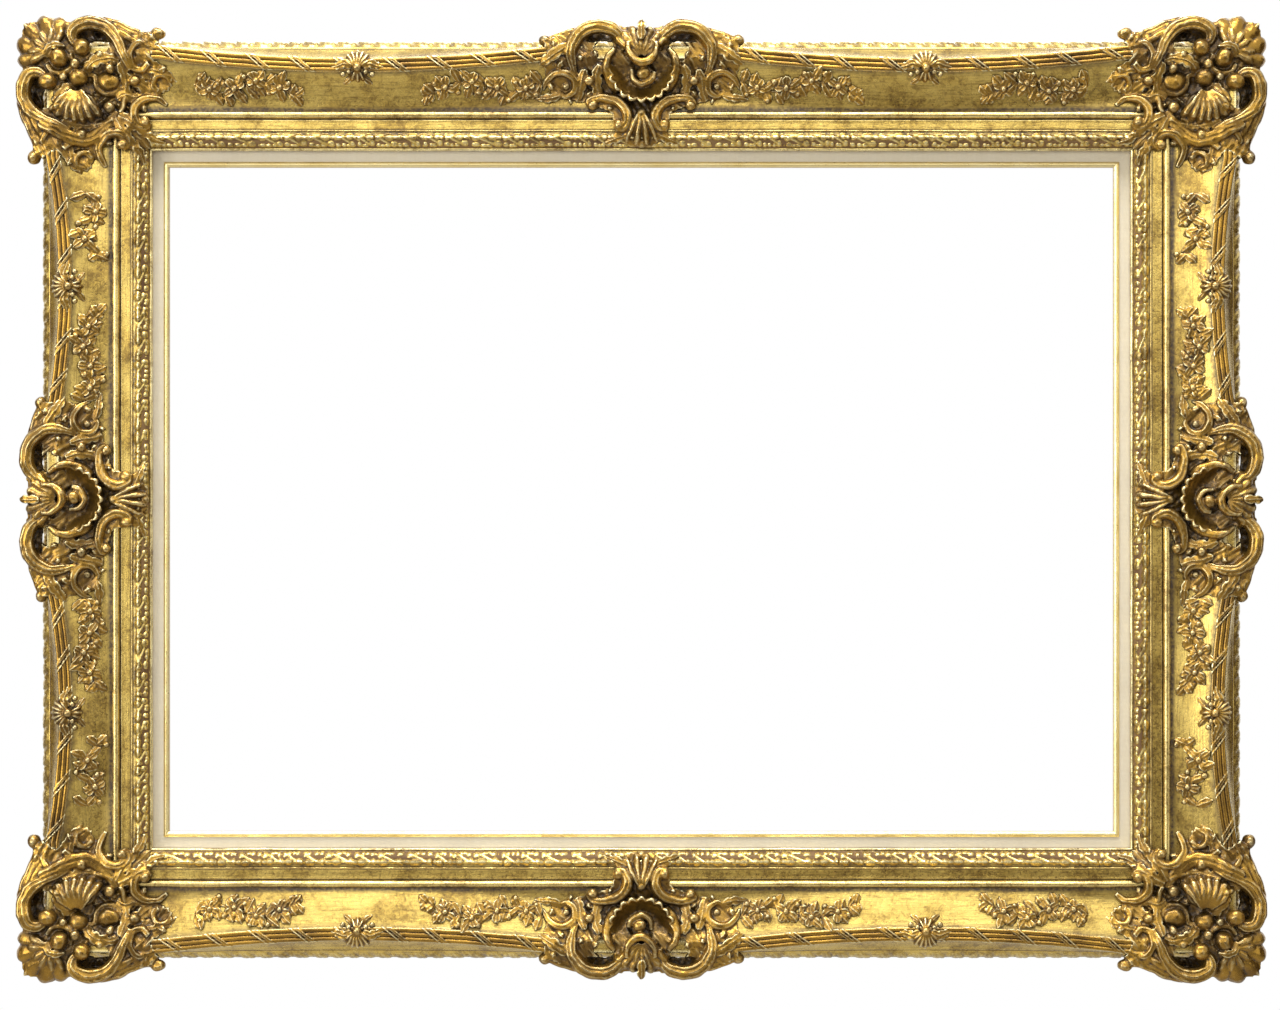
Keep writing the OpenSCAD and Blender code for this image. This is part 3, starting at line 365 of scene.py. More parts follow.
def linear(code):
    """An sRGB hex colour as the linear colour that shaders take."""
    rgb = [int(code[i:i + 2], 16) / 255 for i in (1, 3, 5)]
    return [c / 12.92 if c <= 0.04045 else ((c + 0.055) / 1.055) ** 2.4 for c in rgb] + [1.0]


def add(tree, kind, links=None, fixed=None, **settings):
    """A node of one kind, with its settings, its fixed inputs and what feeds the others."""
    node = tree.nodes.new("ShaderNode" + kind)
    for key, value in settings.items():
        setattr(node, key, value)
    for socket, value in (fixed or {}).items():
        node.inputs[socket].default_value = value
    for socket, source in (links or {}).items():
        tree.links.new(source, node.inputs[socket])
    return node


def new_material(name):
    material = bpy.data.materials.new(name)
    material.use_nodes = True
    tree = material.node_tree
    tree.nodes.clear()
    return material, tree


def ramp(tree, source, stops):
    """A colour ramp through (place, colour) stops; a colour is a hex code or a grey value."""
    node = add(tree, "ValToRGB", {0: source})
    bar = node.color_ramp.elements
    while len(bar) < len(stops):
        bar.new(0.5)
    for element, (place, value) in zip(bar, stops):
        element.position = place
        element.color = linear(value) if isinstance(value, str) else (value, value, value, 1)
    return node.outputs["Color"]


def mix(tree, share, a, b):
    """Mixes two colours, each a socket or a hex code, by a share that is a socket or a number."""
    node = add(tree, "Mix", data_type="RGBA")
    for socket, value in ((0, share), (6, a), (7, b)):
        if isinstance(value, bpy.types.NodeSocket):
            tree.links.new(value, node.inputs[socket])
        else:
            node.inputs[socket].default_value = linear(value) if isinstance(value, str) else value
    return node.outputs[2]


def maths(tree, how, a, b):
    return add(tree, "Math", {0: a, 1: b}, operation=how).outputs[0]


def noise(tree, where, scale, detail, rough=0.5, warp=0.0):
    fixed = {"Scale": scale, "Detail": detail, "Roughness": rough, "Distortion": warp}
    return add(tree, "TexNoise", {"Vector": where}, fixed).outputs["Fac"]


def bumped(tree, height, strength, depth, below=None):
    """A bump laid over the one below it."""
    links = {"Height": height, "Normal": below} if below else {"Height": height}
    return add(tree, "Bump", links, {"Strength": strength, "Distance": depth}).outputs[0]


def surface(tree, links, fixed):
    """The shader of a material, and its output."""
    add(tree, "OutputMaterial", {0: add(tree, "BsdfPrincipled", links, fixed).outputs[0]})


def gilded(name, leaf, pale, toning, rough, reach, shaded, coat, brushed=False):
    """Burnished gold leaf over gesso: paler where rubbed on all that stands out, strengthened as a painted
    highlight, and toned brown in the hollows, deepened into painted shade.
    """
    material, tree = new_material(name)
    where = add(tree, "TexCoord").outputs["Object"]
    relief = add(tree, "Attribute", attribute_name="relief").outputs["Fac"]
    # cloudy toning 35 mm across, specks of wear 3 mm across, and the leaf's own fine unevenness
    cloud = noise(tree, where, 28, 4, 0.6)
    speck = noise(tree, where, 330, 3, 0.65)
    fine = noise(tree, where, 900, 2)
    # hollows that light hardly reaches, and sunken grooves, hold the toning, darkened further as painted
    # shade
    shade = add(tree, "AmbientOcclusion", fixed={"Distance": reach}, samples=6).outputs["AO"]
    hollow_shade = ramp(tree, shade, [(shaded[0], 1.0), (shaded[1], 0.0)])
    sunk_shade = add(tree, "Math", {0: relief}, {1: -1.0}, operation="MULTIPLY").outputs[0]
    sunk_shade = ramp(tree, sunk_shade, [(0.05, 0.0), (0.38, 1.0)])
    patchy = ramp(tree, speck, [(0.35, 0.55), (0.6, 1.0)])
    toning_and_shade = maths(tree, "MULTIPLY", maths(tree, "MAXIMUM", hollow_shade, sunk_shade), patchy)
    colour = mix(tree, ramp(tree, cloud, [(0.38, 0.0), (0.66, 1.0)]), leaf[0], leaf[1])
    # all that stands out turns to the pale colour: partly rubbed leaf, mostly a painted highlight
    colour = mix(tree, ramp(tree, relief, [(0.12, 0.0), (0.6, 0.9)]), colour, pale)
    bump = bumped(tree, cloud, 0.35, 0.0012)
    bump = bumped(tree, speck, 0.35, 0.0005, bump)
    bump = bumped(tree, fine, 0.22, 0.0002, bump)
    if brushed:
        # streaks of wear along the rail, 1.5 mm wide and 25 mm long
        grain = add(tree, "Attribute", attribute_name="grain").outputs["Vector"]
        drawn = add(tree, "Mapping", {"Vector": grain}, {"Scale": (0.04, 0.65, 0.3)})
        streak = noise(tree, drawn.outputs[0], 1.0, 5, 0.7)
        colour = mix(tree, ramp(tree, streak, [(0.5, 0.0), (0.72, 0.75)]), colour, toning[1])
        bump = bumped(tree, streak, 0.4, 0.0005, bump)
        # toning left in patches on the flat runs, 6 mm across, over blotches of 30 mm
        patch = mix(tree, 0.35, noise(tree, where, 150, 8, 0.8, 0.8), cloud)
        colour = mix(tree, ramp(tree, patch, [(0.49, 0.0), (0.6, 0.8)]), colour, toning[1])
    # red bole shows where the leaf is rubbed through
    colour = mix(tree, ramp(tree, speck, [(0.68, 0.0), (0.74, 0.6)]), colour, toning[2])
    # the dark toning colour laid over hollows and grooves: real toning and painted shade, less metallic there
    colour = mix(tree, toning_and_shade, colour, toning[0])
    metal = ramp(tree, toning_and_shade, [(0.0, 1.0), (1.0, 0.15)])
    ends = {"From Min": 0.3, "From Max": 0.7, "To Min": rough[0], "To Max": rough[1]}
    dull = add(tree, "MapRange", {"Value": speck}, ends).outputs[0]
    dull = add(tree, "Math", {0: toning_and_shade, 2: dull}, {1: 0.22}, operation="MULTIPLY_ADD").outputs[0]
    surface(tree, {"Base Color": colour, "Metallic": metal, "Roughness": dull, "Normal": bump},
            {"Coat Weight": coat, "Coat Roughness": 0.35, "Coat IOR": 1.6})
    return material


def plain_stuff(name, colours, scale, rough, stretch=(1, 1, 1), metallic=0.0, grain=0.0004, sheen=0.0):
    """Wood, brass, steel or felt: two colours in a stretched noise, with a slight bump."""
    material, tree = new_material(name)
    where = add(tree, "Mapping", {"Vector": add(tree, "TexCoord").outputs["Object"]}, {"Scale": stretch})
    streak = noise(tree, where.outputs[0], scale, 6, 0.6)
    dull = add(tree, "MapRange", {"Value": streak}, {"To Min": rough[0], "To Max": rough[1]}).outputs[0]
    surface(tree, {"Base Color": ramp(tree, streak, [(0.35, colours[0]), (0.65, colours[1])]),
                   "Roughness": dull, "Normal": bumped(tree, streak, 0.4, grain)},
            {"Metallic": metallic, "Sheen Weight": sheen})
    return material


def woven_linen():
    """Natural linen: a plain weave of slubby threads, drawn at 1.2 mm so that it shows."""
    material, tree = new_material("woven_linen")
    grain = add(tree, "Attribute", attribute_name="grain").outputs["Vector"]
    wave = {"Scale": 0.26, "Distortion": 1.2, "Detail": 2, "Detail Scale": 1.5}
    warp, weft = [add(tree, "TexWave", {"Vector": grain}, wave, wave_type="BANDS",
                      bands_direction=way).outputs["Fac"] for way in ("X", "Y")]
    weave = maths(tree, "MULTIPLY", warp, weft)
    colour = mix(tree, noise(tree, grain, 0.12, 4), "#efe2c6", "#f9efd9")
    colour = mix(tree, ramp(tree, weave, [(0.0, 0.35), (0.4, 0.0)]), colour, "#cbbc9b")
    surface(tree, {"Base Color": colour, "Normal": bumped(tree, weave, 0.6, 0.0004)},
            {"Roughness": 0.85, "Sheen Weight": 0.2})
    return material


# toning and painted shade: dark in the hollows as toning deepened into painted shade, thin and brown over the
# flats, and red bole where the leaf is gone
TONING_AND_SHADE = ("#3a2507", "#785a1c", "#6d2f14")
DEEP_TONING_AND_SHADE = ("#1f1003", "#5f400f", "#6d2f14")
# gilt carving: sharp gleams and painted highlights on all that stands out, over hollows painted nearly black
# with toning and painted shade
CARVED_GOLD = gilded("gilded_carving", ("#b3882c", "#785716"), "#fff2bc", DEEP_TONING_AND_SHADE,
                     rough=(0.2, 0.36), reach=0.024, shaded=(0.4, 0.97), coat=0.35)
# run moulding under brushed leaf: broad pale gleams and painted highlights, with streaks, brown patches and
# painted shade
MOULDED_GOLD = gilded("gilded_moulding", ("#e4c465", "#cba848"), "#fdf0b8", TONING_AND_SHADE,
                      rough=(0.2, 0.4), reach=0.006, shaded=(0.05, 0.45), coat=0.6, brushed=True)
# the slip's pale new leaf: a clean bright line round the opening, with painted highlights and faint painted
# shade
SLIP_GOLD = gilded("gilded_slip", ("#f4e2a6", "#e8d088"), "#fdf0c4", TONING_AND_SHADE,
                   rough=(0.25, 0.4), reach=0.005, shaded=(0.1, 0.5), coat=0.6)
# stretched linen: matt cream, with threads that show close up
LINEN = woven_linen()
# planed pine and stained lime: long soft streaks along each side, 110 mm by 8 mm
PINE, STAINED_WOOD = {}, {}
for way, stretch in (("level", (1, 14, 14)), ("upright", (14, 14, 1))):
    PINE[way] = plain_stuff("planed_pine_" + way, ("#cfae7e", "#b08a58"), 9, (0.55, 0.7), stretch)
    STAINED_WOOD[way] = plain_stuff("stained_lime_wood_" + way, ("#947347", "#66492a"), 9, (0.6, 0.8),
                                    stretch)
# sanded beech: a pale even wood, so that each key stands out from the rail
BEECH = plain_stuff("sanded_beech", ("#b98f5c", "#a37a4a"), 60, (0.5, 0.65), (1, 6, 1))
# stamped brass: a warm soft sheen
BRASS = plain_stuff("stamped_brass", ("#c39a4b", "#a9823a"), 300, (0.25, 0.42),
                    metallic=1.0, grain=0.00005)
# nickel-plated steel wire: a cool bright line
STEEL = plain_stuff("nickel_plated_steel", ("#b9b8b4", "#a2a19d"), 400, (0.18, 0.32),
                    metallic=1.0, grain=0.00003)
# pressed felt: dark, and without any gleam
FELT = plain_stuff("pressed_felt", ("#3d3935", "#2e2b28"), 500, (0.9, 1.0), sheen=0.3)


# Rails, reeds and ribbons

def cell(u, pitch, seed):
    """Which repeat a place lies in, how far along it from 0 to 1, and a few shifts of its own."""
    x = u / pitch + 0.18 * np.sin(u * 0.031 + seed) + 0.1 * np.sin(u * 0.083 + 2 * seed)
    k = np.floor(x)
    own = [np.mod(np.sin(k * w + seed) * 437.585, 1.0) - 0.5 for w in (12.99, 78.23, 39.43)]
    return x - k, own


# the lobes of one running leaf: place along and across it, size, and which shift moves it
LEAF_SPOTS = [(0.12, 0.8, 0.13, 0), (0.33, 0.84, 0.12, 1), (0.55, 0.82, 0.12, 2), (0.8, 0.74, 0.16, 0),
              (0.62, 0.3, 0.2, 1), (0.9, 0.3, 0.13, 2), (0.08, 0.4, 0.14, 1)]


def running_leaves(u, q, pitch):
    """Height from 0 to 1 of leaves that follow each other along a band, q from 0 to 1 across."""
    x, own = cell(u, pitch, 1.7)
    total = 0.8 * np.exp(-((q - 0.2 - 0.75 * x - 0.1 * own[0]) / 0.1) ** 2) * np.clip(4 * (0.92 - x), 0, 1)
    for cx, cq, r, k in LEAF_SPOTS:
        d = np.abs(x - cx - 0.12 * own[k])
        d = np.minimum(d, 1 - d) / (r * (1 + 0.3 * own[(k + 1) % 3]))
        e = (q - cq - 0.1 * own[(k + 2) % 3]) / (r * 1.3)
        total = np.maximum(total, np.sqrt(np.clip(1 - d * d - e * e, 0, 1)))
    return total


def curled_tips(u, q, pitch):
    """Height from 0 to 1 of leaf tips that lean along the outer edge."""
    x, own = cell(u, pitch, 4.2)
    lean = x - 0.4 * q + 0.1 * own[0]
    tip = np.clip(1 - ((lean - 0.3) / (0.38 - 0.2 * q)) ** 2, 0, 1) ** 0.6
    vein = 0.35 * np.exp(-((lean - 0.3) / 0.05) ** 2)
    small = np.clip(1 - ((x - 0.84 - 0.1 * own[1]) / 0.14) ** 2 - ((q - 0.4) / 0.35) ** 2, 0, 1) ** 0.6
    return np.maximum(tip - vein, 0.9 * small)


def face_rows(span, u):
    """Rows (s, v) of the gilding from the outer edge over the face and back through the wood."""
    crest = crest_s(span, u)
    rows = [(-GILDING, v) for v in (3.0, 12.0, EDGE_LOW - 2)]
    for t in np.linspace(0, 1, 9):
        s = EDGE_W * t
        v = EDGE_HIGH - (EDGE_HIGH - EDGE_LOW) * ((1 - t) ** 2 + (1 - t)) / 2
        high = TIP_RISE * curled_tips(u, t, TIP_PITCH) * math.sin(math.pi * min(1, 0.15 + t)) ** 0.5
        rows.append((s - 0.75 * high - 0.3, v + 0.5 * high + 0.1))
    rows.append((EDGE_W + 0.5, EDGE_HIGH + 0.2))
    for t in np.linspace(0.03, 1, 9):
        s = EDGE_W + 0.5 + (crest - CREST_W / 2 - EDGE_W - 0.5) * t
        rows.append((s, bank_v(span, u, s - 0.001) + GILDING))
    for t in (0.25, 0.5, 0.75, 1.0):
        rows.append((crest - CREST_W / 2 + CREST_W * t, CREST_H + 0.45))
    for t in np.linspace(0.0, 1, 15):
        s = crest + CREST_W / 2 + 0.2 + (COVE_END - 0.4 - crest - CREST_W / 2) * t
        rows.append((s, bank_v(span, u, s) + GILDING))
    for a in np.radians([0, 25, 50, 75, 90, 105, 130, 155, 180]):
        rows.append((COVE_END + FILLET_W / 2 - (FILLET_W / 2 + 0.2) * math.cos(a),
                     FILLET_H - 2.6 + 3.0 * math.sin(a)))
    rows += FRIEZE
    for a in np.radians([20, 60, 90, 120, 160]):
        rows.append((BEAD_S - BEAD_W * math.cos(a), BEAD_V + BEAD_H * math.sin(a)))
    band_s, band_v = np.transpose(BAND)
    for q in np.linspace(0, 1, 19):
        s = band_s[0] + (band_s[-1] - band_s[0]) * q
        v = float(np.interp(s, band_s, band_v))
        high = LEAF_RISE * running_leaves(u, q, LEAF_PITCH) * min(1, 6 * (1 - q), 0.2 + 5 * q)
        rows.append((s + 0.3 * high, v + 0.9 * high))
    return rows + LIP_AND_BACK


def gilded_rail(side):
    """The gilded face of one rail: gesso and leaf over the wood, with its running ornament."""
    span = SIDES[side]
    u = np.linspace(-span / 2, span / 2, int(span / 1.15) + 1)
    rows = face_rows(span, u)
    s, v = [np.stack([row[i] + 0 * u for row in rows], 1) for i in (0, 1)]
    end = span / 2 - np.clip(s, 0, RAIL_W + 1)
    uu = np.clip(u[:, None] + 0 * s, -end, end)
    n, m = s.shape
    k = np.arange(n * m).reshape(n, m)
    r = np.roll(k, -1, axis=1)
    quads = np.stack([k[:-1], r[:-1], r[1:], k[1:]], -1)
    keep = (np.abs(np.diff(uu, axis=0)) + np.abs(np.roll(np.diff(uu, axis=0), -1, axis=1))) > 1e-6
    flat = np.stack([uu, s, v], -1).reshape(-1, 3)
    faces = quads[keep]
    # the ends are closed in the plane of the mitre
    first = [int(k[np.argmax(uu[:, c] > -end[:, c] + 1e-9) - 1, c]) for c in range(m)]
    last = [int(k[n - np.argmax(uu[::-1, c] < end[::-1, c] - 1e-9), c]) for c in range(m)]
    used = np.unique(np.r_[faces.ravel(), first, last])
    new = np.full(n * m, -1)
    new[used] = np.arange(len(used))
    faces = new[faces].tolist() + [new[first].tolist(), new[last][::-1].tolist()]
    points = waver(flat[used], 0.12, 45.0, 11)
    points[:, 0] = flat[used][:, 0]
    piece("gilding_" + side, on_rail(side, points), faces, MOULDED_GOLD,
          grain=flat[used] + (len(side) * 531, 0, 0))


def reed_bundle(name, side, half, seed):
    """Three reeds that follow the sweep, with ribbons wound across them."""
    span = SIDES[side]
    a, b = SWAG_FROM_MIDDLE + 6.0, span / 2 - SWAG_FROM_END + 6.0
    u = np.linspace(a, b, int((b - a) / 0.8))
    q = np.linspace(-REEDS_W, REEDS_W, 31)
    reed = np.zeros_like(q)
    for c in (-REED_APART, 0, REED_APART):
        reed = np.maximum(reed, REED_H * np.sqrt(np.clip(1 - ((q - c) / REED_R) ** 2, 0, 1)))
    rng = np.random.default_rng(seed)
    count = int((b - a) / 41)
    v = CREST_H - 0.3 + reed[None] + 0 * u[:, None]
    bow = 2.9 * np.sqrt(np.clip(1 - (q / 7.6) ** 2, 0, 1)) ** 0.7
    for k in range(count):
        mid = a + (b - a) * (k + 0.5) / count + rng.uniform(-3, 3)
        slope = 1.25 if half > 0 else -1.25
        for shift, width in ((0.0, 2.4), (6.2, 1.0)):
            d = np.abs(u[:, None] - mid - shift - slope * q[None])
            wrap = np.clip((width + 0.8 - d) / 0.8, 0, 1)
            v = np.maximum(v, CREST_H - 0.2 + wrap * (bow + 0.1))
    s = crest_s(span, u)[:, None] + q[None]
    top = np.stack([u[:, None] + 0 * s, s, v], -1)
    low = [np.stack([u, crest_s(span, u) + aside, np.full_like(u, CREST_H - 3.6)], -1)[:, None]
           for aside in (6.2, -6.2)]
    work = Carving()
    work.tube(np.concatenate([top] + low, 1))
    points = waver(np.vstack(work.points), 0.1, 20.0, seed)
    points[:, 0] *= half
    faces = work.faces if half > 0 else [f[::-1] for f in work.faces]
    piece("reeds_" + name, on_rail(side, points), faces, CARVED_GOLD, ["reed_" + name])


def spray(side, half, start, reach, seed):
    """Half a cove's flower spray, from its start along the rail: stem, leaves, blossoms and buds."""
    span = SIDES[side]
    work, rng = Carving(), np.random.default_rng(seed)

    def place(t, off=0.0):
        u = start + reach * t
        s = crest_s(span, u) + CREST_W / 2 + COVE_RUN * (0.52 + 0.17 * math.sin(math.radians(400 * t))) + off
        return u, float(s)

    def lifted(u, s, lift, w=0):
        return u, s, float(bank_v(span, np.array(u), np.array(s))) + lift, w

    stem = [place(t) for t in np.linspace(0, 1, 9)]
    work.scroll([lifted(u, s, 2.6, 1.5 - 0.08 * k) for k, (u, s) in enumerate(stem)], rise=1.0,
                thick=4)
    way = math.copysign(1, reach)
    if abs(reach) < 70:
        leaves, buds = (0.0, 0.2, 0.4, 0.6, 0.8, 1.0), (0.05, 0.5, 0.55, 1.0)
        blossoms = ((0.3, 9.0), (0.75, 10.5))
    else:
        leaves = (0.02, 0.1, 0.2, 0.32, 0.42, 0.52, 0.62, 0.72, 0.84, 0.95, 1.0)
        buds = (0.06, 0.24, 0.3, 0.5, 0.56, 0.74, 0.94)
        blossoms = ((0.15, 8.0), (0.4, 9.5), (0.62, 8.0), (0.85, 9.0))
    for k, t in enumerate(leaves):
        for turn in ((1, -1) if k % 2 else (-1, 1)):
            u, s = place(t)
            a = math.radians(rng.uniform(35, 70) * turn)
            long = rng.uniform(12, 17) * (0.75 if t > 0.85 else 1)
            du, ds = way * math.cos(a) * long, math.sin(a) * long
            rows = [lifted(u + du * f, s + ds * f, 3.0 + 1.5 * math.sin(math.pi * f),
                           w * rng.uniform(0.9, 1.15))
                    for f, w in ((0, 1.8), (0.35, 4.8), (0.7, 4.6), (1, 1.2))]
            work.leaf(rows, lobes=2, notch=0.25, cup=0.15, vein=0.5, thick=4, across=9)
    for t, r in blossoms:
        u, s = place(t, rng.uniform(-2, 2))
        base = rng.uniform(0, 90)
        for k in range(4 if r > 8.5 else 5):
            a = math.radians(base + k * (90 if r > 8.5 else 72))
            rows = [lifted(u + math.cos(a) * r * f, s + math.sin(a) * r * f, 3.6 + 1.6 * math.sin(2.4 * f), w)
                    for f, w in ((0.1, 1.6), (0.5, 3.8), (0.85, 4.2), (1.15, 2.0))]
            work.leaf(rows, lobes=1, notch=0.1, cup=0.5, vein=0.4, thick=4, across=9)
        work.ball(*lifted(u, s, 7.2)[:3], 3.2, 6)
    for t in buds:
        u, s = place(t, rng.choice((-8.5, 8.5)))
        work.ball(*lifted(u, s, 5.6)[:3], rng.uniform(2.4, 3.6), 6)
    if half < 0:
        points = np.vstack(work.points) * (-1, 1, 1)
        work.points, work.faces = [points], [face[::-1] for face in work.faces]
    return work


def spray_pieces(side, near, far, long, far_long):
    """The four flower sprays of one cove."""
    whole = Carving()
    for half in (-1, 1):
        for k, (start, reach) in enumerate(((far, -far_long), (near, long))):
            part = spray(side, half, start, reach, 10 * k + half + 40)
            whole.add(np.vstack(part.points), part.faces)
    shape, faces = fused(whole, 0.65, 1)
    piece("flower_sprays_" + side, on_rail(side, waver(shape, 0.2, 8.0, 9)), faces, CARVED_GOLD,
          ["sprays_" + side])


# rows of a clasp's leaves, from the clasp's middle
CLASP_LEAF = [(5, 2, 61, 3), (12, -1, 62, 5), (19, 1, 60, 4.4), (25, 2, 58.5, 1.6)]
CLASP_TIP = [(3, 6, 58, 2), (8, 13, 54.5, 3.6), (14, 17, 51, 2)]


def clasp_pieces(side):
    """The two shell clasps that hold the reeds at the middle of each swag."""
    span = SIDES[side]
    mid = (SWAG_FROM_MIDDLE + span / 2 - SWAG_FROM_END) / 2
    s = float(crest_s(span, mid))
    whole = Carving()
    for half in (-1, 1):
        m = half * mid
        whole.shell((m, s + 4), 17, 270, 62, 7, 62.5, 58.5, dome=2.5, rib=2.0, flare=0.08, lip=4, thick=8)
        whole.shell((m, s + 3), 12, 90, 42, 3, 61, 54, dome=2, rib=2.0, flare=0.1, lip=2, thick=6)
        whole.ball(m, s + 3, 66, 4.2, 9)
        for a in (-14, -8, 8, 14):
            whole.ball(m + a, s + 5 + 0.02 * a * a, 62 - 0.14 * abs(a), 2.7, 7)
        for way in (-1, 1):
            whole.leaf([(m + way * a, s + b, v, w) for a, b, v, w in CLASP_LEAF], lobes=3)
            whole.leaf([(m + way * a, s + b, v, w) for a, b, v, w in CLASP_TIP], lobes=2, thick=7)
    shape, faces = fused(whole, 0.65, 1)
    piece("reed_clasps_" + side, on_rail(side, waver(shape, 0.2, 8.0, 12)), faces, CARVED_GOLD,
          ["reed_clasps_" + side])


for each in SIDES:
    gilded_rail(each)
    lengths = (110.0, 96.0) if SIDES[each] == OUTER_W else (84.0, 58.0)
    spray_pieces(each, 94.0, SIDES[each] / 2 - 148.0, *lengths)
    clasp_pieces(each)
HALVES = [("top_left", "top", -1), ("top_right", "top", 1), ("bottom_left", "bottom", 1),
          ("bottom_right", "bottom", -1), ("left_upper", "left", 1), ("left_lower", "left", -1),
          ("right_upper", "right", -1), ("right_lower", "right", 1)]
for seed, (name, side, half) in enumerate(HALVES):
    reed_bundle(name, side, half, seed)


# Corners and centres

def corner_places(x, y):
    """How far a place of a corner lies along the nearer edge, and how far in from it."""
    return np.maximum(x, y), np.minimum(x, y)


def centre_places(x, y):
    """How far a place of a centre lies from its middle line, and how far in from the edge."""
    return np.abs(x), y


def on_bed(work, places):
    """The carving's scroll, leaf and ball, for heights that are given above its ground."""
    def bed(x, y):
        return float(ground_v(places(x, y)[1]))

    def raised(rows):
        return [(x, y, bed(x, y) + lift, w) for x, y, lift, w in rows]

    return (lambda rows, **how: work.scroll(raised(rows), **how),
            lambda rows, **how: work.leaf(raised(rows), **how),
            lambda x, y, lift, r: work.ball(x, y, bed(x, y) + lift, r))


def rough_ground(x, y):
    """Low lumps and tool marks of the ground between the forms."""
    return (0.9 * np.sin(0.31 * x + 1.3 * np.sin(0.23 * y)) * np.sin(0.37 * y + 1.1 * np.sin(0.19 * x))
            + 0.5 * np.sin(0.71 * x - 0.53 * y + 2 * np.sin(0.11 * x)))


def pierced_ground(work, outline, pierced, places, rise, arch, foot):
    """The ground inside an outline, drawn back under arches (middle, half width and depth)."""
    def top(x, y):
        along, edge = places(x, y)
        back = np.exp(-(((along - arch[0]) / arch[1]) ** 4)) * (edge < 4)
        return ground_v(edge) + rise + rough_ground(x, y) - 0.3 * np.clip(-edge, 0, 30) - arch[2] * back

    def low(x, y):
        edge = places(x, y)[1]
        return np.where(edge < 3, foot, ground_v(edge) - 8)

    work.block(outline, top, low, pierced)


def scatter(leaf, spots, seed):
    """Small buds and leaf tips over the ground, at the given spots (x, y)."""
    rng = np.random.default_rng(seed)
    for x, y in spots:
        r = rng.uniform(2.2, 4.2)
        a = rng.uniform(0, 2 * math.pi)
        dx, dy = 1.2 * r * math.cos(a), 1.2 * r * math.sin(a)
        leaf([(x - dx, y - dy, 2.5, 0.6 * r), (x, y, 5.0, r), (x + dx, y + dy, 3.5, 0.4 * r)],
             lobes=2, cup=-0.3, thick=5, across=9)


def corner_half(work, scroll, leaf, ball):
    """The forms on one side of a corner's diagonal."""
    # the outer scroll: it winds from its eye over the edge and back into a long leaf
    scroll([(42, 9.5, 6, 4), (35, 3.5, 8, 5.6), (35, -6, 10, 6.8), (43.5, -12, 10.5, 7.4),
            (55, -13, 9, 7.4), (65.5, -9.5, 8, 7), (73.5, -2, 8, 6.6), (79, 8, 9, 5.6), (83.5, 19, 10, 4.4),
            (89, 31, 9, 2.6)], flutes=3, groove=1.7, rise=0.75, thick=12)
    scroll([(50, -13, 3, 6), (64, -13.5, 3, 6.5), (77, -10, 3, 6.5), (89, -4.5, 2, 6), (100, -1.5, 0.5, 5),
            (110, -1.5, -1, 3.5)], flutes=3, groove=1.5, rise=0.6, thick=14)
    scroll([(70, -8, 5, 3), (82, -2, 6, 4), (92, 4, 5, 3.5), (104, 8, 3, 2.5), (118, 13, 1, 1.5)], rise=0.9,
           thick=8)
    ball(43, 10.5, 14, 8.4)
    work.turned((114, -4.5, 59), [(0.4, 0), (3.2, -1.2), (5.4, -4), (6.2, -7), (5, -14)], 14, 1.15)
    # eyes, hollows and pearls
    scroll([(105, 9, 2, 2), (99, 5, 5, 2.8), (92, 9, 7, 3.2), (88, 18, 8, 3.4), (91, 28, 8, 3.8),
            (99, 31, 8, 4), (106, 25, 6, 3)], flutes=2, groove=0.8)
    scroll([(54, 35, 5, 2.2), (54.5, 45, 7, 3), (63, 52.5, 7, 3.4), (75, 50, 7, 3.2), (80, 40, 6, 2.6)])
    dome = [(9 * math.sin(t), 6.5 * (math.cos(t) - 1)) for t in np.radians([4, 20, 36, 52, 68, 84])]
    work.turned((66.5, 41, float(ground_v(41)) + 12), dome + [(8.6, -12)], 24, 1.2, 15)
    ball(69.5, 30, 13, 4.4)
    ball(60, 17, 7, 3.8)
    ball(92, 41, 12, 5.2)
    scroll([(126, 46, 2, 1.6), (122, 37, 4, 2.6), (113, 36, 6, 3), (109, 43, 6, 3), (114, 50, 4, 2.4)])
    # leaves between them
    leaf([(47, 34, 6, 4), (50, 27, 8, 6), (58, 22, 7, 6.5), (69, 20, 5, 5.5), (78, 22, 3, 2)])
    leaf([(78, 40, 6, 4), (86, 37, 8, 5.5), (96, 43, 7, 6.5), (106, 50, 4, 5), (116, 56, 1, 2)])
    leaf([(74, 58, 7, 4), (82, 54, 9, 6), (90, 56, 7, 5.5), (100, 52, 4, 2)], lobes=3)
    leaf([(102, 30, 3, 3), (112, 31, 4, 5), (122, 35, 3, 4), (132, 41, 0, 1.5)], thick=3)
    leaf([(79, 24, 7, 3.5), (82, 33, 9, 5.5), (84, 44, 9, 5.5), (81, 56, 7, 2.5)], lobes=3)
    scroll([(82, 52, 8, 2), (81.5, 62, 10, 3), (78, 71, 9, 2.5)], rise=0.9)
    # the inner scroll that laps over the frieze, and the leaves beside it
    scroll([(122, 63, 2, 2), (113, 57.5, 6, 3.6), (102, 57.5, 9, 4.6), (93.5, 63.5, 10, 5),
            (90.5, 73, 10, 5), (94, 82, 9, 4.6), (101, 84.5, 7, 4), (106, 80, 5, 2.6)], flutes=2,
           groove=1.2)
    ball(101, 79.5, 9.125, 5.4)
    leaf([(74, 76, 8, 3.5), (79, 86, 9, 6.5), (84, 95, 8, 7), (89, 102, 5, 4.5), (92, 105, 3, 1.5)],
         lobes=3)
    leaf([(96, 89, 4, 2.5), (104, 93, 5, 4.5), (112, 97, 4, 4.5), (120, 99, 1, 1.5)], lobes=3, thick=3)
    scatter(leaf, [(50, 34), (88, 48), (98, 38), (108, 46), (56, 54), (72, 24), (100, 66), (62, 58),
                   (46, 24), (84, 66), (118, 30), (76, 64), (104, 90)], 4)


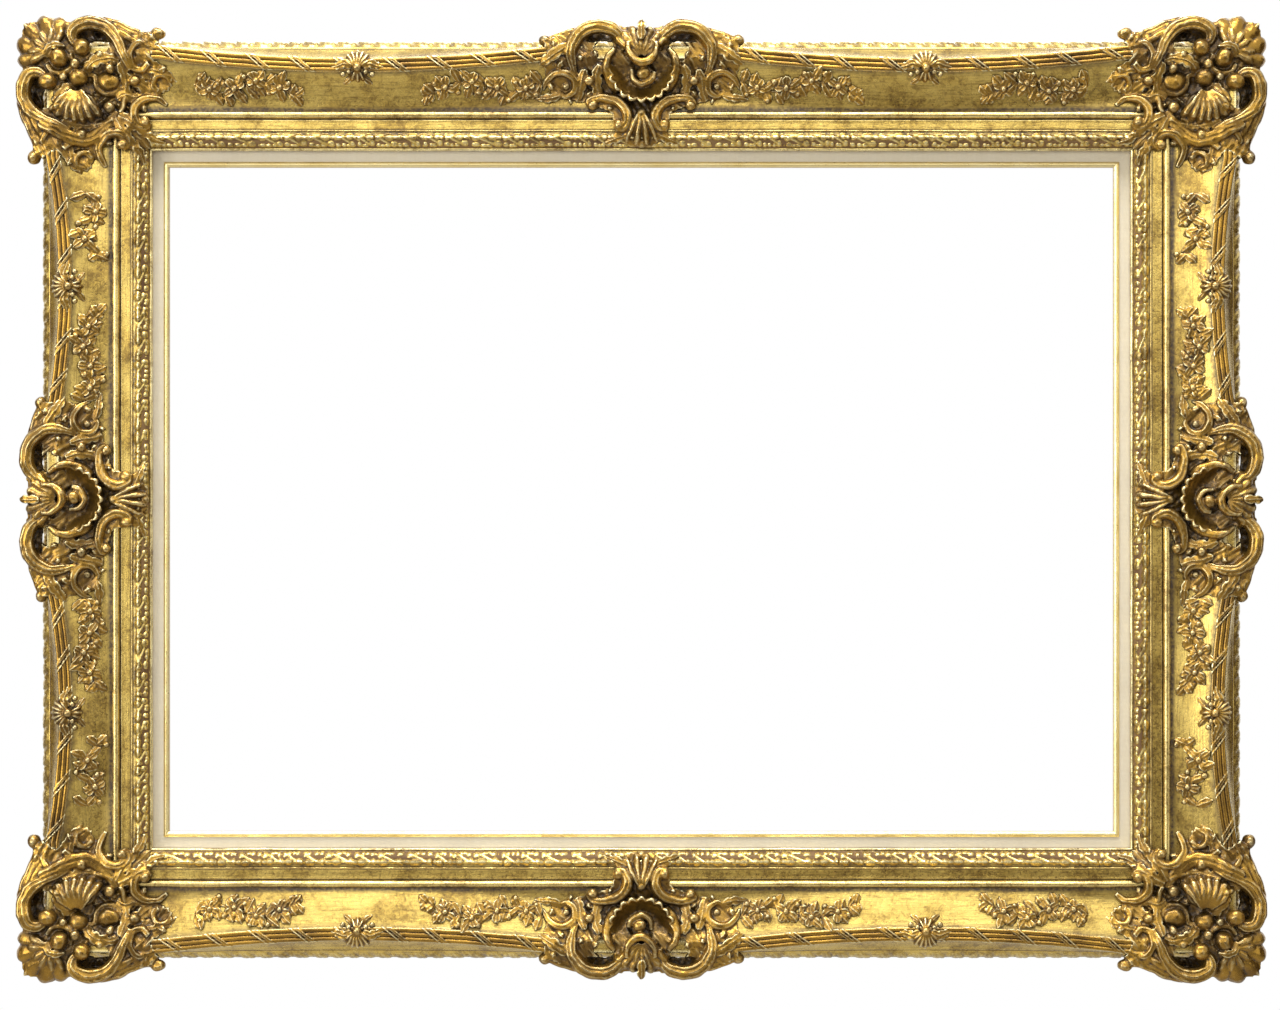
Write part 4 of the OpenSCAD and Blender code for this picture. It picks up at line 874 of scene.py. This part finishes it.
def carve_corner():
    """One corner, as seen top left: x to the right and y downwards from its outer corner."""
    work = Carving()
    scroll, leaf, ball = on_bed(work, corner_places)
    corner_half(work, scroll, leaf, ball)
    work.mirrored(lambda p: p[:, [1, 0, 2]])
    # the ground, drawn back under the two arches
    outline = [(-14, -14), (8, -16), (12, -15), (30, -15), (46, -17), (62, -16), (78, -13), (92, -7),
               (106, -4), (116, 4), (106, 18), (128, 34), (124, 50), (106, 54), (92, 62), (90, 84),
               (104, 96), (104, 104)]
    outline += [(y, x) for x, y in outline[-2:0:-1]]
    pierced = [(54, 8.5, 6.5), (62, 8, 6.5), (8.5, 54, 6.5), (8, 62, 6.5)]
    pierced_ground(work, outline, pierced, corner_places, rise=2.0, arch=(53, 15, 15), foot=36.0)
    # on the diagonal: the outer shell with its boss, a dome, a hanging shell over a ribbon, and a leaf
    work.shell((14, 14), 31, 225, 78, 5, 60, 54, dome=5, rib=2.6, flare=0.05, lip=5, thick=14,
               long_share=0.16)
    work.shell((15, 15), 24, 225, 80, 6, 64, 60, dome=3.5, rib=2.4, flare=0.06, lip=2.5, thick=6)
    work.ball(21, 20, 71, 9)
    work.leaf([(9, 20, 64, 2.5), (12, 11, 68, 4.5), (20, 8.5, 69, 3.5), (27, 10, 66, 1.5)], lobes=2)
    work.scroll([(9, 26, 61, 2.5), (15, 33, 62, 3), (25, 34, 62, 3), (33, 27, 62, 3), (32, 16, 61, 2.5)])
    ball(38, 37, 14.41667, 9.5)
    ball(36.5, 26, 13.54167, 4.8)
    ball(25, 38, 10, 4)
    work.shell((38, 44), 37, 95, 46, 7, 60, 62, dome=6, rib=2.4, flare=0.05, lip=7, thick=10, inner=0.2)
    scroll([(2, 82, 8, 4), (16, 88, 10, 6), (31, 95, 10, 7.4), (46, 96.5, 10, 7.4), (59, 90, 10, 6.6),
            (68, 80, 9, 5), (75, 70, 6, 3)], flutes=2, groove=0.9, rise=0.4, thick=10)
    ball(67.5, 66.5, 12.125, 5.2)
    ball(19.5, 66, 10, 5)
    leaf([(72, 72, 6, 4), (81, 81, 7, 8), (90, 90, 7, 8.5), (99, 99, 5, 4.5), (104, 104, 3, 1)])
    return work


def centre_half(work, scroll, leaf, ball):
    """The forms on one side of a centre's middle line."""
    scroll([(62, 38, 5, 2.5), (66, 26, 7, 4.5), (67, 12, 8, 6.2), (60.5, -1, 10, 7), (49, -8.5, 11, 7.2),
            (36, -9.5, 11, 7), (25, -5, 10, 6), (18, 4, 8, 4.6), (17, 13, 6, 2.6)], flutes=3, groove=1.8,
           rise=0.7, thick=13)
    scroll([(56, -6, 2, 5), (68, -2.5, 2, 6), (80, 1.5, 1, 6), (90, 4.5, 0, 4)], flutes=3, groove=1.4,
           rise=0.6, thick=13)
    work.turned((92, 2.5, 59), [(0.4, 0), (3, -1.2), (5, -4), (5.6, -7), (5, -12)], 14, 1.1)
    leaf([(70, 8, 5, 4), (79, 14, 6, 6), (88, 20, 5, 6), (98, 26, 2, 2)], lobes=3)
    # ears of the shell, and what lies on the cove beside it
    scroll([(26, 11, 6, 2.4), (32, 20, 9, 3.6), (33, 32, 12, 4), (29, 44, 13, 3.6), (23, 51, 12, 2.4)],
           thick=10)
    ball(50, 41, 12, 5)
    scroll([(80, 50, 3, 2), (72, 55, 5, 3), (64, 50, 7, 3.6), (64, 40, 8, 4), (72, 34, 8, 4),
            (82, 34, 7, 4), (90, 40, 5, 3.4), (95, 49, 1, 2)], flutes=2)
    ball(72, 45, 5, 4)
    leaf([(40, 26, 6, 3.5), (43, 36, 8, 6), (43, 47, 7, 6), (38, 56, 4, 2.4)], lobes=3)
    leaf([(54, 30, 6, 3), (57, 40, 8, 5.5), (59, 51, 6, 5.5), (62, 60, 2, 2)], lobes=3)
    leaf([(78, 54, 4, 3), (86, 56, 5, 5), (95, 57, 3, 4), (103, 57, 0, 1.5)], lobes=3, thick=3)
    # the inner scroll that laps over the frieze
    scroll([(49, 66, 4, 3), (50, 60, 6, 3.8), (44, 56.5, 8, 4.4), (34, 57, 10, 4.8), (23, 60, 11, 5.2),
            (15.5, 67, 11, 5.4), (13.5, 76, 10, 5.4), (17, 84, 8, 4.8), (25, 85.5, 7, 3.6)], flutes=2,
           groove=1.3)
    ball(46.5, 63.5, 8.125, 4.8)
    ball(22, 82.5, 8.875, 5.4)
    leaf([(12, 88, 5, 3), (19, 93, 5, 5.5), (28, 96, 4, 5), (37, 99, 1, 1.5)], lobes=3, thick=3)
    scatter(leaf, [(44, 16), (58, 20), (78, 26), (86, 46), (50, 52), (68, 60), (30, 66), (84, 8)], 6)


def carve_centre():
    """One centre: x along the rail from its middle and y inwards."""
    work = Carving()
    scroll, leaf, ball = on_bed(work, centre_places)
    centre_half(work, scroll, leaf, ball)
    work.mirrored(lambda p: p * (-1, 1, 1))
    # the ground, drawn back under the two arches
    outline = [(8, -9), (34, -13), (58, -11), (76, -2), (92, 3), (94, 26), (86, 54), (52, 62), (28, 70),
               (24, 92), (10, 102)]
    outline += [(-x, y) for x, y in outline[::-1]]
    pierced = [(35, 12.5, 10.5), (-35, 12.5, 10.5)]
    pierced_ground(work, outline, pierced, centre_places, rise=2.2, arch=(37, 13, 13), foot=38.0)
    # on the middle line: flutes above a cup, a ball, a dished shell and a husk
    work.shell((0, 22), 32.5, 270, 58, 7, 68, 64, dome=3, rib=2.6, flare=0.04, lip=4, thick=14)
    work.leaf([(0, 4, 72, 3.5), (0, -4, 72, 5), (0, -11, 70, 4.4), (0, -16, 66, 2)], lobes=2, thick=8)
    work.scroll([(-13, 5, 70, 2.2), (-12, 15, 73, 3), (-6, 23, 74, 3.6), (1, 25.5, 74, 4), (8, 23, 74, 3.6),
                 (13.5, 15, 73, 3), (14, 5, 70, 2.2)], rise=0.8, thick=12)
    ball(2, 35, 20.41667, 6.4)
    work.shell((0, 30), 31.5, 90, 96, 11, 54, 65, dome=-6, rib=2.2, flare=0.05, lip=4.5, thick=9, inner=0.2)
    work.scroll([(-9, 31, 62, 2), (-8, 40, 64, 2.6), (0, 45, 65, 3), (9, 41, 65, 3), (12, 33, 63, 2.4)],
                rise=0.8, thick=9)
    work.shell((0, 66), 32, 90, 34, 4, 54, 46, dome=4, rib=3.0, flare=0.12, lip=3, thick=8)
    ball(0, 71, 8.92857, 4.6)
    ball(0, 99, 6, 4.4)
    return work


shape, faces = fused(carve_corner())
shape = waver(waver(shape, 0.4, 14.0, 3), 0.07, 5.0, 8)
CORNERS = {"top_left": (-1, 1), "top_right": (1, 1), "bottom_left": (-1, -1), "bottom_right": (1, -1)}
for name, (i, j) in CORNERS.items():
    piece("carved_corner_" + name, at_corner(i, j, shape), faces, CARVED_GOLD, ["corner_" + name])
shape, faces = fused(carve_centre())
shape = waver(waver(shape, 0.4, 14.0, 5), 0.07, 5.0, 7)
for side in SIDES:
    piece("carved_centre_" + side, on_rail(side, shape), faces, CARVED_GOLD, ["centre_" + side])


# Linen, and the nodes that stay

def linen_strip(side):
    """Linen drawn over one side of the liner, from under the slip over the face and down its outer side."""
    span = SIDES[side]
    face = [(SLIP_W - 0.3, LINEN_V - 1.6), (SLIP_W + 0.1, LINEN_V - 1.1)]
    seen = np.linspace(SLIP_W + 1, SLIP_W + LINEN_SHOW, 8)
    face += [(q, LINEN_V - 1.0 + (q - SLIP_W) / LINEN_SHOW) for q in seen]
    face += [(19, LINEN_V), (LINER_W, LINEN_V)]
    face += [(LINER_W + LINEN_T * math.sin(a), LINEN_V - LINEN_T * (1 - math.cos(a)))
             for a in np.radians([30, 60, 90])]
    face += [(LINER_W + LINEN_T, v) for v in (LINEN_V - 3, LINEN_V - 7, LINEN_V - LINEN_TURN)]
    front = np.array(face)
    back = np.array([(q - LINEN_T, v) if q > LINER_W + 0.5 * LINEN_T else (q, v - LINEN_T) for q, v in face])
    back[-4] = (LINER_W, LINEN_V - LINEN_T)
    ring = np.vstack([front, back[::-1]])
    s = SIGHT_S + SLIP_W + LINEN_SHOW - ring[:, 0]
    t = np.linspace(-1, 1, 141)[:, None]
    u = t * (span / 2 - s)
    # threads never lie quite flat
    lift = 0.04 * np.sin(0.9 * u + 0.4 * np.sin(0.13 * u)) * (ring[:, 0] < LINER_W - 0.5)
    points = np.stack([u, s + 0 * u, ring[:, 1] + lift], -1)
    work = Carving()
    work.tube(points)
    along = np.r_[0, np.cumsum(np.linalg.norm(np.diff(front, axis=0), axis=1))]
    across = np.r_[along, along[::-1]]
    grain = np.stack([u, across + 0 * u, 0 * u], -1).reshape(-1, 3)
    grain = np.vstack([grain, grain[:2]])
    made = piece("linen_cover_" + side, on_rail(side, np.vstack(work.points)), work.faces, LINEN,
                 ["linen_" + side], grain=grain)


for each in SIDES:
    linen_strip(each)


FINISHES = {"slip_": SLIP_GOLD, "mitre_key": BEECH, "turn_button": BRASS, "button_screws": BRASS,
            "hanger_strap": BRASS, "hanger_screws": BRASS, "hanger_ring": STEEL, "wall_bumpers": FELT}
for node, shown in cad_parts.items():
    way = "level" if node.startswith(("top", "bottom")) or node.endswith(("_top", "_bottom")) else "upright"
    finish = next((stuff for start, stuff in FINISHES.items() if node.startswith(start)), CARVED_GOLD)
    if node.startswith("liner_"):
        finish = PINE[way]
    if node.endswith("_rail"):
        finish = STAINED_WOOD[way]
    shown.data.materials.clear()
    shown.data.materials.append(finish)


# Setting, light and camera

SKY = 0.38
FLOOR_Z = -1.7
# tan screens on the floor, which the gilding mirrors: both ends in plan, the top and the tones
# the darker tones of the right screens are painted shade: they stand in for the shaded side of a room
SCREENS = {"right_flag": ((4.2, -1.6), (4.2, 3.0), 1.6, ("#6f5f43", "#7a694b")),
           "left_flag": ((-4.2, -0.6), (-4.2, 3.0), 1.6, ("#a8966f", "#b3a079")),
           "front_wall": ((-0.8, -4.6), (0.9, -4.6), 0.45, ("#92805c", "#9c8964")),
           "front_wall_right": ((0.9, -4.6), (2.4, -4.6), 0.9, ("#786748", "#82704f"))}


def stage_panel(name, corners, tones):
    """A flat panel of the studio, from its four corners, in two matt tones."""
    mesh = bpy.data.meshes.new(name)
    a, b, c, d = np.array(corners, float)
    t = np.linspace(0, 1, 5)
    points = [tuple((1 - q) * ((1 - p) * a + p * b) + q * ((1 - p) * d + p * c)) for q in t for p in t]
    corner = [5 * i + j for i in range(4) for j in range(4)]
    mesh.from_pydata(points, [], [(k, k + 1, k + 6, k + 5) for k in corner])
    material, tree = new_material(name)
    cloud = noise(tree, add(tree, "TexCoord").outputs["Object"], 1.5, 3)
    surface(tree, {"Base Color": ramp(tree, cloud, [(0.3, tones[0]), (0.7, tones[1])])}, {"Roughness": 0.8})
    mesh.materials.append(material)
    placed(name, mesh)


def white_surround():
    """A white surround that camera and metal see, and a soft dim sky for the light."""
    world = bpy.data.worlds.new("white_surround")
    bpy.context.scene.world = world
    world.use_nodes = True
    tree = world.node_tree
    tree.nodes.clear()
    sky = add(tree, "Background", fixed={"Color": linear("#dfe3e8"), "Strength": SKY})
    white = add(tree, "Background", fixed={"Color": (1, 1, 1, 1), "Strength": 1.0})
    ray = add(tree, "LightPath").outputs
    seen = maths(tree, "ADD", ray["Is Camera Ray"], ray["Is Glossy Ray"])
    seen = maths(tree, "ADD", seen, ray["Is Transmission Ray"])
    share = add(tree, "MixShader", {0: seen, 1: sky.outputs[0], 2: white.outputs[0]})
    add(tree, "OutputWorld", {0: share.outputs[0]})


def soft_light(name, place, size, watts):
    """An area light that looks at the frame's middle."""
    data = bpy.data.lights.new(name, "AREA")
    data.shape = "RECTANGLE"
    data.size, data.size_y = size
    data.energy = watts
    x, y, z = place
    made = placed(name, data)
    made.location = place
    made.rotation_euler = (math.atan2(math.hypot(x, y), z), 0.0, math.atan2(x, -y))


white_surround()
stage_panel("pale_floor", [(-6, -6, FLOOR_Z), (6, -6, FLOOR_Z), (6, 6, FLOOR_Z), (-6, 6, FLOOR_Z)],
            ("#dcd9d4", "#e4e1dc"))
for name, (start, end, top, tones) in SCREENS.items():
    stage_panel(name, [(*start, FLOOR_Z), (*end, FLOOR_Z), (*end, top), (*start, top)], tones)
soft_light("key_above", (-0.2, -0.8, 2.4), (2.4, 0.8), 74)
soft_light("fill_left", (-2.4, -2.0, 0.3), (1.5, 1.8), 36)
soft_light("fill_front", (0.0, -3.4, 1.3), (3.2, 1.2), 20)
soft_light("fill_behind", (0.2, 2.6, 2.1), (2.6, 1.2), 34)

lens = bpy.data.cameras.new("camera")
lens.lens, lens.sensor_width = 87.9, 36.0
camera = placed("camera", lens)
camera.location = (-0.0014, -3.0, -0.0053)
camera.rotation_euler = (math.pi / 2, 0, 0)
bpy.context.scene.camera = camera
bpy.context.scene.view_settings.view_transform = "Standard"
